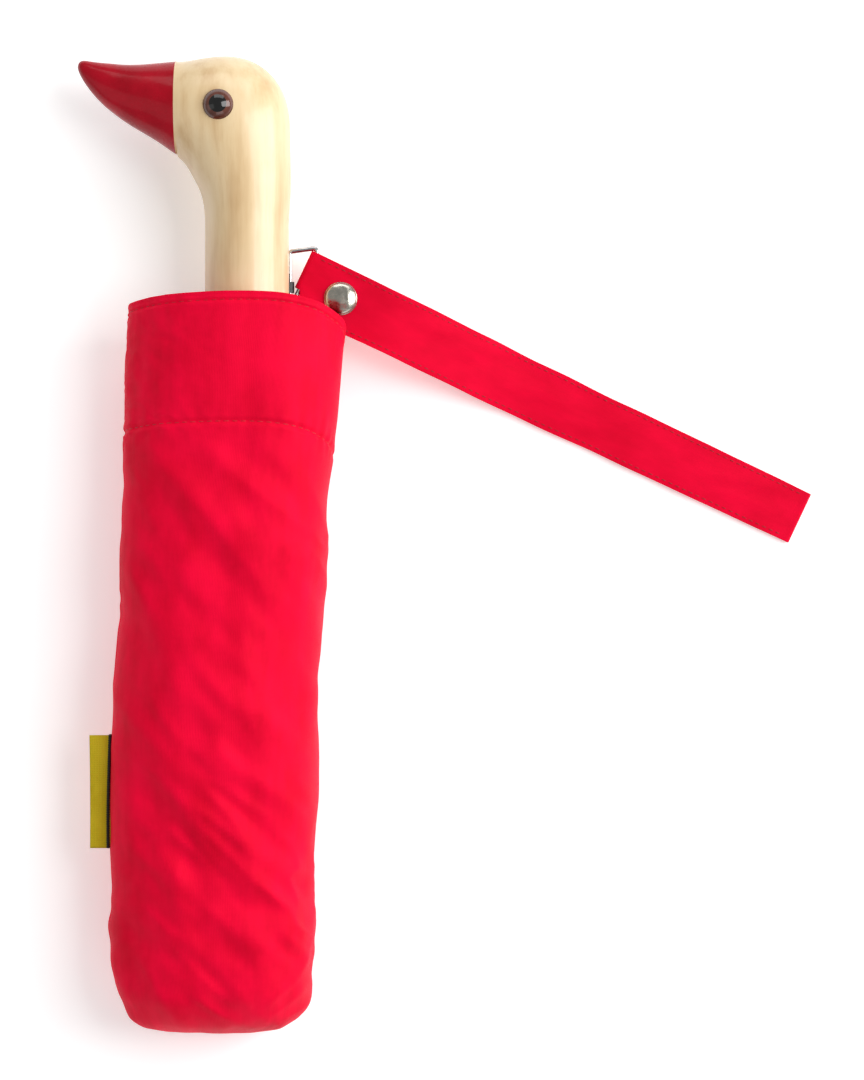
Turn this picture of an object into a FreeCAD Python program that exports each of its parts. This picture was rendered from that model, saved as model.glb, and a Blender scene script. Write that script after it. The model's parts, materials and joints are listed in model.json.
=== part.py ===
import FreeCAD, Part
import math
import os
import Sketcher

from FreeCAD import Placement, Rotation, Vector

# Folding umbrella with a carved bird-head handle, packed in its fabric sleeve.
# It lies on its back: the shaft runs along Y, the head is at +Y and the resting plane is z = 0.
# Every piece is drawn about the shaft axis and then lifted to the axis height.

X_AXIS = Vector(1, 0, 0)
Y_AXIS = Vector(0, 1, 0)
Z_AXIS = Vector(0, 0, 1)

doc = FreeCAD.newDocument("folding_umbrella")
sheet = doc.addObject("Spreadsheet::Sheet", "Sizes")

SIZES = [
    # handle
    ("neck_radius", 14.5),
    ("neck_end", 106.0),
    ("head_start", 152.0),
    ("bore_depth", 40.0),
    ("spigot_wall", 2.2),
    ("collar_length", 12.0),
    ("collar_floor", 2.0),
    ("tube_pin_radius", 1.0),
    ("beak_dowel_radius", 3.0),
    ("beak_dowel_length", 22.0),
    ("eye_radius", 5.2),
    ("eye_rise", 3.0),
    ("eye_seat", 1.2),
    ("pupil_radius", 3.0),
    ("shank_radius", 1.5),
    ("shank_length", 7.0),
    # telescopic shaft
    ("frame_length", 216.0),
    ("lower_radius", 4.0),
    ("tube_wall", 0.5),
    ("tube_gap", 0.4),
    ("slide_clearance", 0.1),
    ("lip_length", 5.0),
    ("middle_start", 44.0),
    ("lower_start", 70.0),
    ("middle_proud", 2.5),
    ("upper_proud", 7.0),
    ("button_radius", 1.1),
    ("button_setback", 14.0),
    ("middle_travel", 140.0),
    ("lower_travel", 115.0),
    # canopy frame
    ("rib_count", 8),
    ("rib_wall", 0.4),
    ("stretcher_width", 2.0),
    ("stretcher_depth", 2.2),
    ("stretcher_seat", 1.4),
    ("layer_gap", 0.4),
    ("top_rib_depth", 2.4),
    ("mid_rib_depth", 2.0),
    ("rod_radius", 0.8),
    ("rivet_radius", 0.6),
    ("ear_clearance", 0.15),
    ("runner_length", 22.0),
    ("hub_length", 7.0),
    ("wire_radius", 0.5),
    ("tip_radius", 7.0),
    ("tip_length", 8.0),
    ("canopy_wall", 3.6),
    ("canopy_gap", 0.5),
    ("canopy_draw_in", 2.2),
    ("canopy_taper", 60.0),
    ("tie_thickness", 0.5),
    ("tie_width", 18.0),
    # sleeve
    ("sleeve_wall", 1.0),
    ("sleeve_slack", 2.1),
    ("sleeve_room", 14.7),
    ("roll_clearance", 1.3),
    ("sleeve_sag", 1.5),
    ("sleeve_lean", 0.034),
    ("sleeve_offset", -9.4),
    ("mouth_flare", 2.4),
    ("mouth_level", 12.5),
    ("mouth_slope", 0.115),
    ("mouth_tilt", 0.30),
    ("tag_length", 39.0),
    ("tag_reach", 8.4),
    ("tag_thickness", 0.9),
    ("tag_level", -41.5),
    # ring and wrist strap
    ("ring_azimuth", 30.0),
    ("ring_standoff", 2.1),
    ("ring_wire", 0.85),
    ("ring_level", 125.4),
    ("ring_leg", 24.1),
    ("ring_side", 20.4),
    ("ring_bend", 1.2),
    ("ring_play", 0.1),
    ("barrel_wall", 0.65),
    ("barrel_level", 131.4),
    ("barrel_length", 3.8),
    ("keeper_plate", 0.9),
    ("keeper_width", 9.0),
    ("keeper_screw", 1.0),
    ("strap_angle", 25.3),
    ("strap_length", 193.0),
    ("strap_half_width", 10.9),
    ("strap_far_half", 9.4),
    ("strap_thickness", 0.9),
    ("strap_gap", 0.3),
    ("wrap_clearance", 9.6),
    ("strap_margin", 2.1),
    ("tab_length", 21.0),
    ("ramp_start", 26.0),
    ("ramp_radius", 60.0),
    ("ramp_angle", 16.0),
    ("snap_radius", 5.85),
    ("snap_setback", 14.4),
    ("snap_rise", 2.2),
    ("floor_gap", 0.05),
]
for row, (alias, number) in enumerate(SIZES, start=1):
    sheet.set(f"A{row}", alias)
    sheet.set(f"B{row}", str(number))
    sheet.setAlias(f"B{row}", alias)
doc.recompute()


def cell(alias):
    """Formula text that names one cell of the sheet."""
    return f"Sizes.{alias}"


def size(alias):
    """Number held in one cell of the sheet."""
    return float(sheet.get(alias))


# ---------------------------------------------------------------- derived formulas
MIDDLE_INNER = "(Sizes.lower_radius + Sizes.tube_gap)"
MIDDLE_RADIUS = "(Sizes.lower_radius + Sizes.tube_gap + Sizes.tube_wall)"
UPPER_INNER = "(Sizes.lower_radius + 2 * Sizes.tube_gap + Sizes.tube_wall)"
UPPER_RADIUS = "(Sizes.lower_radius + 2 * Sizes.tube_gap + 2 * Sizes.tube_wall)"

NECK_RADIUS = size("neck_radius")
NECK_END = size("neck_end")
CROWN_END = NECK_END - size("frame_length")

middle_inner = size("lower_radius") + size("tube_gap")
middle_radius = middle_inner + size("tube_wall")
upper_inner = middle_radius + size("tube_gap")
upper_radius = upper_inner + size("tube_wall")
stretcher_inner = upper_radius + size("stretcher_seat")
stretcher_outer = stretcher_inner + size("stretcher_depth")
top_rib_inner = stretcher_outer + size("layer_gap")
top_rib_outer = top_rib_inner + size("top_rib_depth")
mid_rib_inner = top_rib_outer + size("layer_gap")
mid_rib_outer = mid_rib_inner + size("mid_rib_depth")
rod_axis = mid_rib_outer + size("layer_gap") + size("rod_radius")
canopy_inner = rod_axis + size("rod_radius") + size("canopy_gap")
canopy_outer = canopy_inner + size("canopy_wall")
AXIS_HEIGHT = canopy_outer + size("sleeve_wall") + size("roll_clearance")
CANOPY_OUTER = (
    "(Sizes.lower_radius + 2 * Sizes.tube_gap + 2 * Sizes.tube_wall + Sizes.stretcher_seat"
    " + Sizes.stretcher_depth + 3 * Sizes.layer_gap + Sizes.top_rib_depth + Sizes.mid_rib_depth"
    " + 2 * Sizes.rod_radius + Sizes.canopy_gap + Sizes.canopy_wall)"
)

nodes = {}


def place(item, label, base=Vector(0, 0, 0), rotation=Rotation()):
    """Give a finished piece its name and lift it to the height of the shaft axis."""
    item.Label = label
    item.Placement = Placement(base + Vector(0, 0, AXIS_HEIGHT), rotation)
    nodes[label] = item
    return item


def turned(name, outline):
    """Body turned about the Y axis; outline is a list of (radius, level) formulas or numbers."""
    body = doc.addObject("PartDesign::Body", name)
    plane = [item for item in body.Origin.OriginFeatures if item.Role == "XY_Plane"][0]
    sketch = body.newObject("Sketcher::SketchObject", name + "_profile")
    sketch.AttachmentSupport = [(plane, "")]
    sketch.MapMode = "FlatFace"
    points = [Vector(float(sheet.evalExpression(str(r))), float(sheet.evalExpression(str(y))), 0)
              for r, y in outline]
    count = len(points)
    for index in range(count):
        sketch.addGeometry(Part.LineSegment(points[index], points[(index + 1) % count]), False)
    for index in range(count):
        following = (index + 1) % count
        sketch.addConstraint(Sketcher.Constraint("Coincident", index, 2, following, 1))
    for index, (radius, level) in enumerate(outline):
        for kind, formula, value in (
            ("DistanceX", radius, points[index].x),
            ("DistanceY", level, points[index].y),
        ):
            number = sketch.addConstraint(Sketcher.Constraint(kind, -1, 1, index, 1, value))
            sketch.setExpression(f"Constraints[{number}]", str(formula))
    turn = body.newObject("PartDesign::Revolution", name + "_turn")
    turn.Profile = sketch
    turn.ReferenceAxis = (sketch, ["V_Axis"])
    turn.Angle = 360
    return body


def padded(name, role, outline, width):
    """Body padded to both sides of an origin plane; outline is a list of points in that plane."""
    body = doc.addObject("PartDesign::Body", name)
    plane = [item for item in body.Origin.OriginFeatures if item.Role == role][0]
    sketch = body.newObject("Sketcher::SketchObject", name + "_profile")
    sketch.AttachmentSupport = [(plane, "")]
    sketch.MapMode = "FlatFace"
    count = len(outline)
    for index in range(count):
        start = Vector(*outline[index], 0)
        end = Vector(*outline[(index + 1) % count], 0)
        sketch.addGeometry(Part.LineSegment(start, end), False)
    for index in range(count):
        following = (index + 1) % count
        sketch.addConstraint(Sketcher.Constraint("Coincident", index, 2, following, 1))
        sketch.addConstraint(Sketcher.Constraint("DistanceX", -1, 1, index, 1, outline[index][0]))
        sketch.addConstraint(Sketcher.Constraint("DistanceY", -1, 1, index, 1, outline[index][1]))
    pad = body.newObject("PartDesign::Pad", name + "_pad")
    pad.Profile = sketch
    pad.setExpression("Length", str(width))
    pad.Midplane = True
    return body


def rod(name, radius, length, base, direction):
    """Cylinder bound to the sheet, starting at base and running along direction."""
    item = doc.addObject("Part::Cylinder", name)
    item.setExpression("Radius", str(radius))
    item.setExpression("Height", str(length))
    item.Placement = Placement(base, Rotation(Z_AXIS, direction))
    return item


def box(name, length, width, height, base, rotation=Rotation()):
    """Box bound to the sheet, with its low corner at base."""
    item = doc.addObject("Part::Box", name)
    item.setExpression("Length", str(length))
    item.setExpression("Width", str(width))
    item.setExpression("Height", str(height))
    item.Placement = Placement(base, rotation)
    return item


def fused(name, parts):
    item = doc.addObject("Part::MultiFuse", name)
    item.Shapes = parts
    return item


def cut(name, base, *tools):
    """Base less every tool."""
    item = doc.addObject("Part::Cut", name)
    item.Base = base
    item.Tool = tools[0] if len(tools) == 1 else fused(name + "_tools", list(tools))
    return item


def common(name, base, tool):
    item = doc.addObject("Part::Common", name)
    item.Base = base
    item.Tool = tool
    return item


def oval(name, centre, across, up, half_across, half_up):
    """Closed ellipse with half_across along across and half_up along up."""
    item = doc.addObject("Part::Ellipse", name)
    along, side = (across, up) if half_across >= half_up else (up, across)
    item.MajorRadius = max(half_across, half_up)
    item.MinorRadius = min(half_across, half_up)
    item.Placement = Placement(centre, Rotation(along, side, along.cross(side), "XYZ"))
    return item


def lofted(name, sections):
    item = doc.addObject("Part::Loft", name)
    item.Sections = sections
    item.Solid = True
    item.Ruled = False
    return item


# ---------------------------------------------------------------- shaft tubes
def tube(name, radius, wall_inner, outer_limit, start, end, flanged, lipped):
    """Thin tube; a flange at its start and a lip at its mouth keep nested tubes together."""
    lip = cell("lip_length")
    outline = [(wall_inner, start)]
    if flanged:
        outline += [(outer_limit, start), (outer_limit, f"{start} + {lip}"),
                    (radius, f"{start} + {lip}")]
    else:
        outline += [(radius, start)]
    outline += [(radius, end)]
    if lipped:
        lip_radius = f"({wall_inner} - Sizes.tube_gap + Sizes.slide_clearance)"
        outline += [(lip_radius, end), (lip_radius, f"{end} - {lip}"),
                    (wall_inner, f"{end} - {lip}")]
    else:
        outline += [(wall_inner, end)]
    return turned(name, outline)


crown_end = "(Sizes.neck_end - Sizes.frame_length)"
upper_mouth = "(Sizes.neck_end - Sizes.upper_proud)"
middle_mouth = "(Sizes.neck_end - Sizes.upper_proud + Sizes.middle_proud)"
middle_base = f"({crown_end} + Sizes.middle_start)"
lower_base = f"({crown_end} + Sizes.lower_start)"
lower_top = "(Sizes.neck_end + Sizes.bore_depth)"

UPPER_MOUTH = NECK_END - size("upper_proud")
MIDDLE_BASE = CROWN_END + size("middle_start")
LOWER_BASE = CROWN_END + size("lower_start")
CATCH_LEAF = 20.0
CATCH_ROOT = CROWN_END + 17.0
CATCH_HALF = 0.9
CATCH_SLOT = 0.3
HOLE_PLAY = 0.2

catch_inner = upper_inner - 1.1
catch_outer = upper_radius + 1.6
leaf_top = upper_inner - 0.3


def make_upper_tube():
    body = tube("upper_tube_blank", UPPER_RADIUS, UPPER_INNER, UPPER_RADIUS,
                crown_end, upper_mouth, False, True)
    button = MIDDLE_BASE + size("button_setback") + size("middle_travel")
    hole = rod("upper_button_hole", f"Sizes.button_radius + {HOLE_PLAY}", UPPER_RADIUS,
               Vector(0, button, 0), Z_AXIS)
    slot = box("catch_slot", 2 * (CATCH_HALF + CATCH_SLOT), CATCH_LEAF - 1, UPPER_RADIUS,
               Vector(-CATCH_HALF - CATCH_SLOT, CATCH_ROOT + 2, 0))
    place(cut("upper_tube_cut", body, hole, slot), "upper_tube")


def make_middle_tube():
    outer_limit = f"({UPPER_INNER} - Sizes.slide_clearance)"
    body = tube("middle_tube_blank", MIDDLE_RADIUS, MIDDLE_INNER, outer_limit,
                middle_base, middle_mouth, True, True)
    low = rod("middle_button_hole", f"Sizes.button_radius + {HOLE_PLAY}", UPPER_RADIUS,
              Vector(0, MIDDLE_BASE + size("button_setback"), 0), Z_AXIS)
    high = rod("middle_catch_hole", f"Sizes.button_radius + {HOLE_PLAY}", UPPER_RADIUS,
               Vector(0, LOWER_BASE + size("button_setback") + size("lower_travel"), 0), Z_AXIS)
    place(cut("middle_tube_cut", body, low, high), "middle_tube")


def make_lower_tube():
    outer_limit = f"({MIDDLE_INNER} - Sizes.slide_clearance)"
    inner = "(Sizes.lower_radius - Sizes.tube_wall)"
    body = tube("lower_tube_blank", cell("lower_radius"), inner, outer_limit,
                lower_base, lower_top, True, False)
    button = rod("lower_button_hole", f"Sizes.button_radius + {HOLE_PLAY}", UPPER_RADIUS,
                 Vector(0, LOWER_BASE + size("button_setback"), 0), Z_AXIS)
    length = 4 * NECK_RADIUS
    pin = rod("lower_pin_hole", cell("tube_pin_radius"), length,
              Vector(-length / 2, PIN_LEVEL, 0), X_AXIS)
    place(cut("lower_tube_cut", body, button, pin), "lower_tube")


def make_button_catch(name, start, bore, reach):
    """Button on a leaf spring inside a tube; its head stops just under the next tube's wall."""
    level = start + size("button_setback")
    leaf_level = bore - 1.0
    leaf = box(name + "_leaf", 2 * CATCH_HALF, 16, 0.4, Vector(-CATCH_HALF, level - 12, leaf_level))
    button = rod(name + "_button", cell("button_radius"), reach - leaf_level,
                 Vector(0, level, leaf_level), Z_AXIS)
    place(fused(name + "_solid", [leaf, button]), name)


def make_runner_catch():
    """Wedge-shaped leaf that stands out of the upper tube below the crown."""
    end = CATCH_ROOT + CATCH_LEAF
    outline = [(CATCH_ROOT, catch_inner), (end, catch_inner), (end, catch_outer),
               (end - 3, catch_outer), (CATCH_ROOT + 2, leaf_top), (CATCH_ROOT, leaf_top)]
    place(padded("runner_catch_body", "YZ_Plane", outline, 2 * CATCH_HALF), "runner_catch")


# ---------------------------------------------------------------- canopy frame
RUNNER_TOP = UPPER_MOUTH - 6.0
RUNNER_BASE = RUNNER_TOP - size("runner_length")
HUB = size("hub_length")
RIB_START = CROWN_END + 1.5
STRETCHER_END = RUNNER_BASE + HUB - 1.5
RIB_FOLD = STRETCHER_END - 14.0
ELBOW = CROWN_END + 0.46 * (STRETCHER_END - CROWN_END)
MID_START = CROWN_END + 14.0
ROD_END = UPPER_MOUTH - 3.0
EAR_HALF = 2.6


def radial(index):
    """Rotation that turns a rib drawn above the shaft to its own place round it."""
    return Rotation(Y_AXIS, 360.0 * (index + 0.5) / size("rib_count"))


def rib_holes(name, stations):
    return [rod(f"{name}_hole_{number}", cell("rivet_radius"), 12, Vector(-6, level, height), X_AXIS)
            for number, (level, height) in enumerate(stations)]


def ears(name, width, level, low, high):
    """Block across a rib at a joint; the slot through it leaves a pair of ears."""
    return box(name, width, 2 * EAR_HALF, high - low,
               Vector(-width / 2, level - EAR_HALF, low))


def make_frame_ribs():
    wall = size("rib_wall")
    play = size("ear_clearance")
    slim = size("stretcher_width")
    wide = slim + 2 * play + 2 * wall
    stretcher_axis = (stretcher_inner + stretcher_outer) / 2
    elbow_height = top_rib_inner + 0.1
    fold_height = (mid_rib_inner + mid_rib_outer) / 2
    wire_height = crown_wire_radius()
    rod_joint = rod_axis

    # stretcher: open channel that carries one top rib, from the runner to the elbow
    blank = box("stretcher_blank", slim, STRETCHER_END - ELBOW + EAR_HALF, cell("stretcher_depth"),
                Vector(-slim / 2, ELBOW - EAR_HALF + 0.6, stretcher_inner))
    knuckle = box("stretcher_knuckle", slim, EAR_HALF * 2 - 1.2, elbow_height + 1 - stretcher_inner,
                  Vector(-slim / 2, ELBOW - EAR_HALF + 0.6, stretcher_inner))
    hollow = box("stretcher_hollow", slim - 2 * wall, STRETCHER_END - ELBOW - 12,
                 cell("stretcher_depth"), Vector(wall - slim / 2, ELBOW + 6, stretcher_inner + wall))
    holes = rib_holes("stretcher", [(ELBOW, elbow_height)])
    wire = rod("stretcher_wire_hole", "Sizes.wire_radius + Sizes.ear_clearance", 12,
               Vector(-6, RUNNER_WIRE, stretcher_axis), X_AXIS)
    stretcher = cut("stretcher_master", fused("stretcher_solid", [blank, knuckle]),
                    hollow, wire, *holes)

    # top rib: channel from the crown to the fold, with ears at the elbow and at the fold
    start = CROWN_END + HUB + 0.3
    channel = box("top_channel", wide, RIB_FOLD - start + EAR_HALF, cell("top_rib_depth"),
                  Vector(-wide / 2, start, top_rib_inner))
    tongue = box("top_tongue", slim, start - RIB_START + 1.5, top_rib_outer - wire_height + 1.2,
                 Vector(-slim / 2, RIB_START, wire_height - 1.2))
    elbow = ears("top_elbow", wide, ELBOW, stretcher_inner + 1.0, top_rib_outer)
    fold = ears("top_fold", wide, RIB_FOLD, top_rib_inner, mid_rib_outer)
    slot_width = slim + 2 * play
    channel_hollow = box("top_hollow", slot_width, RIB_FOLD - start, size("top_rib_depth") - wall,
                         Vector(-slot_width / 2, start + 2, top_rib_inner))
    elbow_slot = box("top_elbow_slot", slot_width, 2 * EAR_HALF + 2,
                     top_rib_inner - stretcher_inner, Vector(-slot_width / 2, ELBOW - EAR_HALF - 1,
                                                             stretcher_inner + 0.5))
    fold_slot = box("top_fold_slot", slot_width, 2 * EAR_HALF + 2, mid_rib_outer,
                    Vector(-slot_width / 2, RIB_FOLD - EAR_HALF - 0.6, mid_rib_inner - 0.4))
    holes = rib_holes("top", [(ELBOW, elbow_height), (RIB_FOLD, fold_height)])
    wire = rod("top_wire_hole", "Sizes.wire_radius + Sizes.ear_clearance", 12,
               Vector(-6, CROWN_WIRE, wire_height), X_AXIS)
    top = cut("top_master", fused("top_solid", [channel, tongue, elbow, fold]),
              channel_hollow, elbow_slot, fold_slot, wire, *holes)

    # middle rib: slim channel from the fold back to the outer joint, with ears for the rod
    span = RIB_FOLD - MID_START
    channel = box("mid_channel", slim, span + 2, cell("mid_rib_depth"),
                  Vector(-slim / 2, MID_START, mid_rib_inner))
    joint = ears("mid_joint", slim, MID_START + EAR_HALF, mid_rib_inner, rod_joint + 1.0)
    gap = slim - 2 * wall
    hollow = box("mid_hollow", gap, span - 8, cell("mid_rib_depth"),
                 Vector(-gap / 2, MID_START + 4, mid_rib_inner + wall))
    joint_slot = box("mid_joint_slot", gap, 2 * EAR_HALF + 2, rod_joint,
                     Vector(-gap / 2, MID_START - 1, mid_rib_inner + wall))
    holes = rib_holes("mid", [(RIB_FOLD, fold_height), (MID_START + EAR_HALF, rod_joint)])
    middle = cut("mid_master", fused("mid_solid", [channel, joint]), hollow, joint_slot, *holes)

    # outer rib: plain rod with a flattened eye at the joint and a ball tip at the canopy's edge
    eye_width = gap - 2 * play
    outer_rod = rod("outer_rod", cell("rod_radius"), ROD_END - MID_START - 2 * EAR_HALF - 1,
                    Vector(0, MID_START + 2 * EAR_HALF + 1, rod_axis), Y_AXIS)
    eye = box("outer_eye", eye_width, 2 * EAR_HALF + 1.5, 1.6,
              Vector(-eye_width / 2, MID_START + 0.6, rod_axis - 0.8))
    hole = rod("outer_eye_hole", cell("rivet_radius"), 12,
               Vector(-6, MID_START + EAR_HALF, rod_axis), X_AXIS)
    outer = cut("outer_master", fused("outer_solid", [outer_rod, eye]), hole)

    elbow_pin = rod("elbow_rivet", cell("rivet_radius"), wide,
                    Vector(-wide / 2, ELBOW, elbow_height), X_AXIS)
    fold_pin = rod("fold_rivet", cell("rivet_radius"), wide,
                   Vector(-wide / 2, RIB_FOLD, fold_height), X_AXIS)
    outer_pin = rod("outer_rivet", cell("rivet_radius"), slim,
                    Vector(-slim / 2, MID_START + EAR_HALF, rod_axis), X_AXIS)
    doc.recompute()

    for index in range(int(size("rib_count"))):
        turn = radial(index)
        copy_of(top, f"top_rib_{index + 1}", turn)
        copy_of(stretcher, f"stretcher_{index + 1}", turn)
    ring_of(middle, "middle_ribs")
    ring_of(outer, "outer_ribs")
    ring_of(fused("rivet_set", [elbow_pin, fold_pin, outer_pin]), "rib_rivets")


def copy_of(master, label, rotation):
    """Copy of a master piece, turned round the shaft."""
    item = doc.addObject("Part::Feature", label)
    item.Shape = master.Shape
    place(item, label, rotation=rotation)


def ring_of(master, label):
    """One node that holds a copy of the master for every rib."""
    doc.recompute()
    item = doc.addObject("Part::Feature", label)
    copies = []
    for index in range(int(size("rib_count"))):
        shape = master.Shape.copy()
        shape.Placement = Placement(Vector(), radial(index))
        copies += shape.Solids
    item.Shape = Part.makeCompound(copies)
    place(item, label)


RUNNER_WIRE = RUNNER_BASE + HUB / 2
CROWN_WIRE = CROWN_END + HUB / 2


def crown_wire_radius():
    return top_rib_inner + size("top_rib_depth") / 2


def runner_wire_radius():
    return (stretcher_inner + stretcher_outer) / 2


def wire_ring(label, radius, level):
    """Closed binding wire that threads the rib ends of a hub."""
    item = doc.addObject("Part::Torus", label + "_torus")
    item.Radius1 = radius
    item.setExpression("Radius2", cell("wire_radius"))
    place(item, label, Vector(0, level, 0), Rotation(Z_AXIS, Y_AXIS))


def notched_hub(name, body, base, wire_radius, wire_level, outer, bottom):
    """Hub with one slot per rib and a groove for the binding wire."""
    slot_width = size("stretcher_width") + 2 * size("ear_clearance")
    slots = []
    for index in range(int(size("rib_count"))):
        slot = box(f"{name}_slot_{index}", slot_width, HUB + 2, 12,
                   Vector(0, 0, 0))
        offset = Placement(Vector(-slot_width / 2, base - 1, bottom), Rotation())
        slot.Placement = Placement(Vector(), radial(index)) * offset
        slots.append(slot)
    groove = doc.addObject("Part::Torus", name + "_groove")
    groove.Radius1 = wire_radius
    groove.setExpression("Radius2", cell("wire_radius"))
    groove.Placement = Placement(Vector(0, wire_level, 0), Rotation(Z_AXIS, Y_AXIS))
    return cut(name + "_cut", body, groove, *slots)


def make_runner():
    bore = f"({UPPER_RADIUS} + Sizes.slide_clearance)"
    flange = stretcher_outer + 0.3
    barrel = f"({UPPER_RADIUS} + Sizes.stretcher_seat)"
    outline = [(bore, RUNNER_BASE), (flange, RUNNER_BASE), (flange, RUNNER_BASE + HUB),
               (barrel, RUNNER_BASE + HUB), (barrel, RUNNER_TOP - 4),
               (flange, RUNNER_TOP - 3), (flange, RUNNER_TOP), (bore, RUNNER_TOP)]
    body = turned("runner_blank", outline)
    # the runner sits over the stretchers' inner ends, so its slots start at their inner faces
    place(notched_hub("runner", body, RUNNER_BASE, runner_wire_radius(), RUNNER_WIRE,
                      flange, stretcher_inner - 0.1), "runner")
    wire_ring("runner_wire", runner_wire_radius(), RUNNER_WIRE)


def make_crown():
    outer = top_rib_outer + 0.3
    outline = [(UPPER_RADIUS, CROWN_END), (outer, CROWN_END), (outer, CROWN_END + HUB),
               (f"({UPPER_RADIUS} + 1.2)", CROWN_END + HUB),
               (f"({UPPER_RADIUS} + 1.2)", CROWN_END + HUB + 5), (UPPER_RADIUS, CROWN_END + HUB + 5)]
    body = turned("crown_blank", outline)
    place(notched_hub("crown", body, CROWN_END, crown_wire_radius(), CROWN_WIRE, outer,
                      crown_wire_radius() - 1.4), "crown")
    wire_ring("crown_wire", crown_wire_radius(), CROWN_WIRE)


def make_tip_cap():
    """Domed screw cap that closes the canopy over the crown, with a plug inside the tube."""
    end = f"({crown_end} - Sizes.tip_length)"
    plug = f"({UPPER_INNER} - Sizes.slide_clearance)"
    outline = [(0, end), ("Sizes.tip_radius * 0.55", end),
               ("Sizes.tip_radius * 0.87", f"{end} + 1.2"),
               (cell("tip_radius"), f"{end} + 3.4"), (cell("tip_radius"), crown_end),
               (plug, crown_end), (plug, f"{crown_end} + 6"), (0, f"{crown_end} + 6")]
    place(turned("tip_cap_body", outline), "tip_cap")


def make_canopy():
    """Rolled canopy as one thick shell round the frame, drawn in to the tip cap at the crown."""
    wall = cell("canopy_wall")
    top = f"({upper_mouth} - 1)"
    shoulder = f"({crown_end} + 9)"
    inner = f"({CANOPY_OUTER} - {wall})"
    hub = top_rib_outer + 0.8
    beside_cap = "(Sizes.tip_radius + 0.1)"
    outline = [(beside_cap, f"{crown_end} - 4.5"), (hub - 1.0, f"{crown_end} - 4.5"),
               (f"({CANOPY_OUTER} - 3)", f"{crown_end} + 1"),
               (f"({CANOPY_OUTER} - Sizes.canopy_draw_in)", shoulder),
               (CANOPY_OUTER, f"{crown_end} + Sizes.canopy_taper"),
               (CANOPY_OUTER, f"{top} - 3"), (f"({CANOPY_OUTER} - 1.4)", top), (inner, top),
               (inner, f"{shoulder} + 3"), (hub, f"{crown_end} + 2"), (hub, f"{crown_end} - 0.5"),
               (beside_cap, f"{crown_end} - 0.5")]
    place(turned("canopy_body", outline), "canopy")
    tie_low = f"{crown_end} + 0.62 * Sizes.frame_length"
    tie = [(CANOPY_OUTER, tie_low), (f"({CANOPY_OUTER} + Sizes.tie_thickness)", tie_low),
           (f"({CANOPY_OUTER} + Sizes.tie_thickness)", f"{tie_low} + Sizes.tie_width"),
           (CANOPY_OUTER, f"{tie_low} + Sizes.tie_width")]
    place(turned("canopy_tie_body", tie), "canopy_tie")


# ---------------------------------------------------------------- handle
PIN_LEVEL = NECK_END + 5.0

# Sections of the head fan out round the throat: back point and throat point in the plane of the
# profile, measured from the head's start, and half the head's breadth there.
HEAD_FAN = [
    ((14.9, 9.2), (-15.0, 9.2), 14.6),
    ((15.2, 19.5), (-16.9, 15.4), 14.9),
    ((15.0, 31.6), (-19.3, 19.9), 15.4),
    ((14.2, 42.6), (-21.2, 23.0), 15.9),
    ((9.6, 52.6), (-22.8, 24.7), 16.0),
    ((0.6, 59.0), (-23.8, 25.7), 15.6),
]
FACE_X = -24.5
FACE_LOW = 26.6
FACE_HIGH = 58.6
FACE_HALF = 12.8

# Beak stations: distance in front of the head's face, lower edge, upper edge, half breadth.
BEAK = [
    (3.5, 29.0, 58.3, 12.0),
    (9.0, 32.6, 57.8, 10.6),
    (14.5, 35.8, 57.5, 9.1),
    (20.0, 39.5, 57.7, 7.4),
    (25.5, 44.0, 58.2, 5.6),
    (29.5, 48.4, 58.7, 4.0),
    (32.4, 52.6, 58.9, 2.5),
]
BEAK_TIP = (34.0, 56.6)
HEAD_START = size("head_start")
HEAD_SCALE = NECK_RADIUS / 14.5


def head_point(pair):
    return Vector(pair[0] * HEAD_SCALE, HEAD_START + pair[1] * HEAD_SCALE, 0)


def head_section(name, back, throat, half):
    """Ellipse across the head from its throat to its back."""
    across = (back - throat).normalize()
    return oval(name, (back + throat) * 0.5, across, Z_AXIS,
                back.distanceToPoint(throat) / 2, half * HEAD_SCALE)


EYE = (-8.9, 41.7)
EYE_HALF = 15.75


def eye_place(side):
    """Placement of an eye: its own axis points out of the head on the given side."""
    centre = head_point(EYE) + Vector(0, 0, side * (EYE_HALF * HEAD_SCALE - size("eye_seat")))
    return Placement(centre, Rotation(Y_AXIS, Vector(0, 0, side)))


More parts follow.
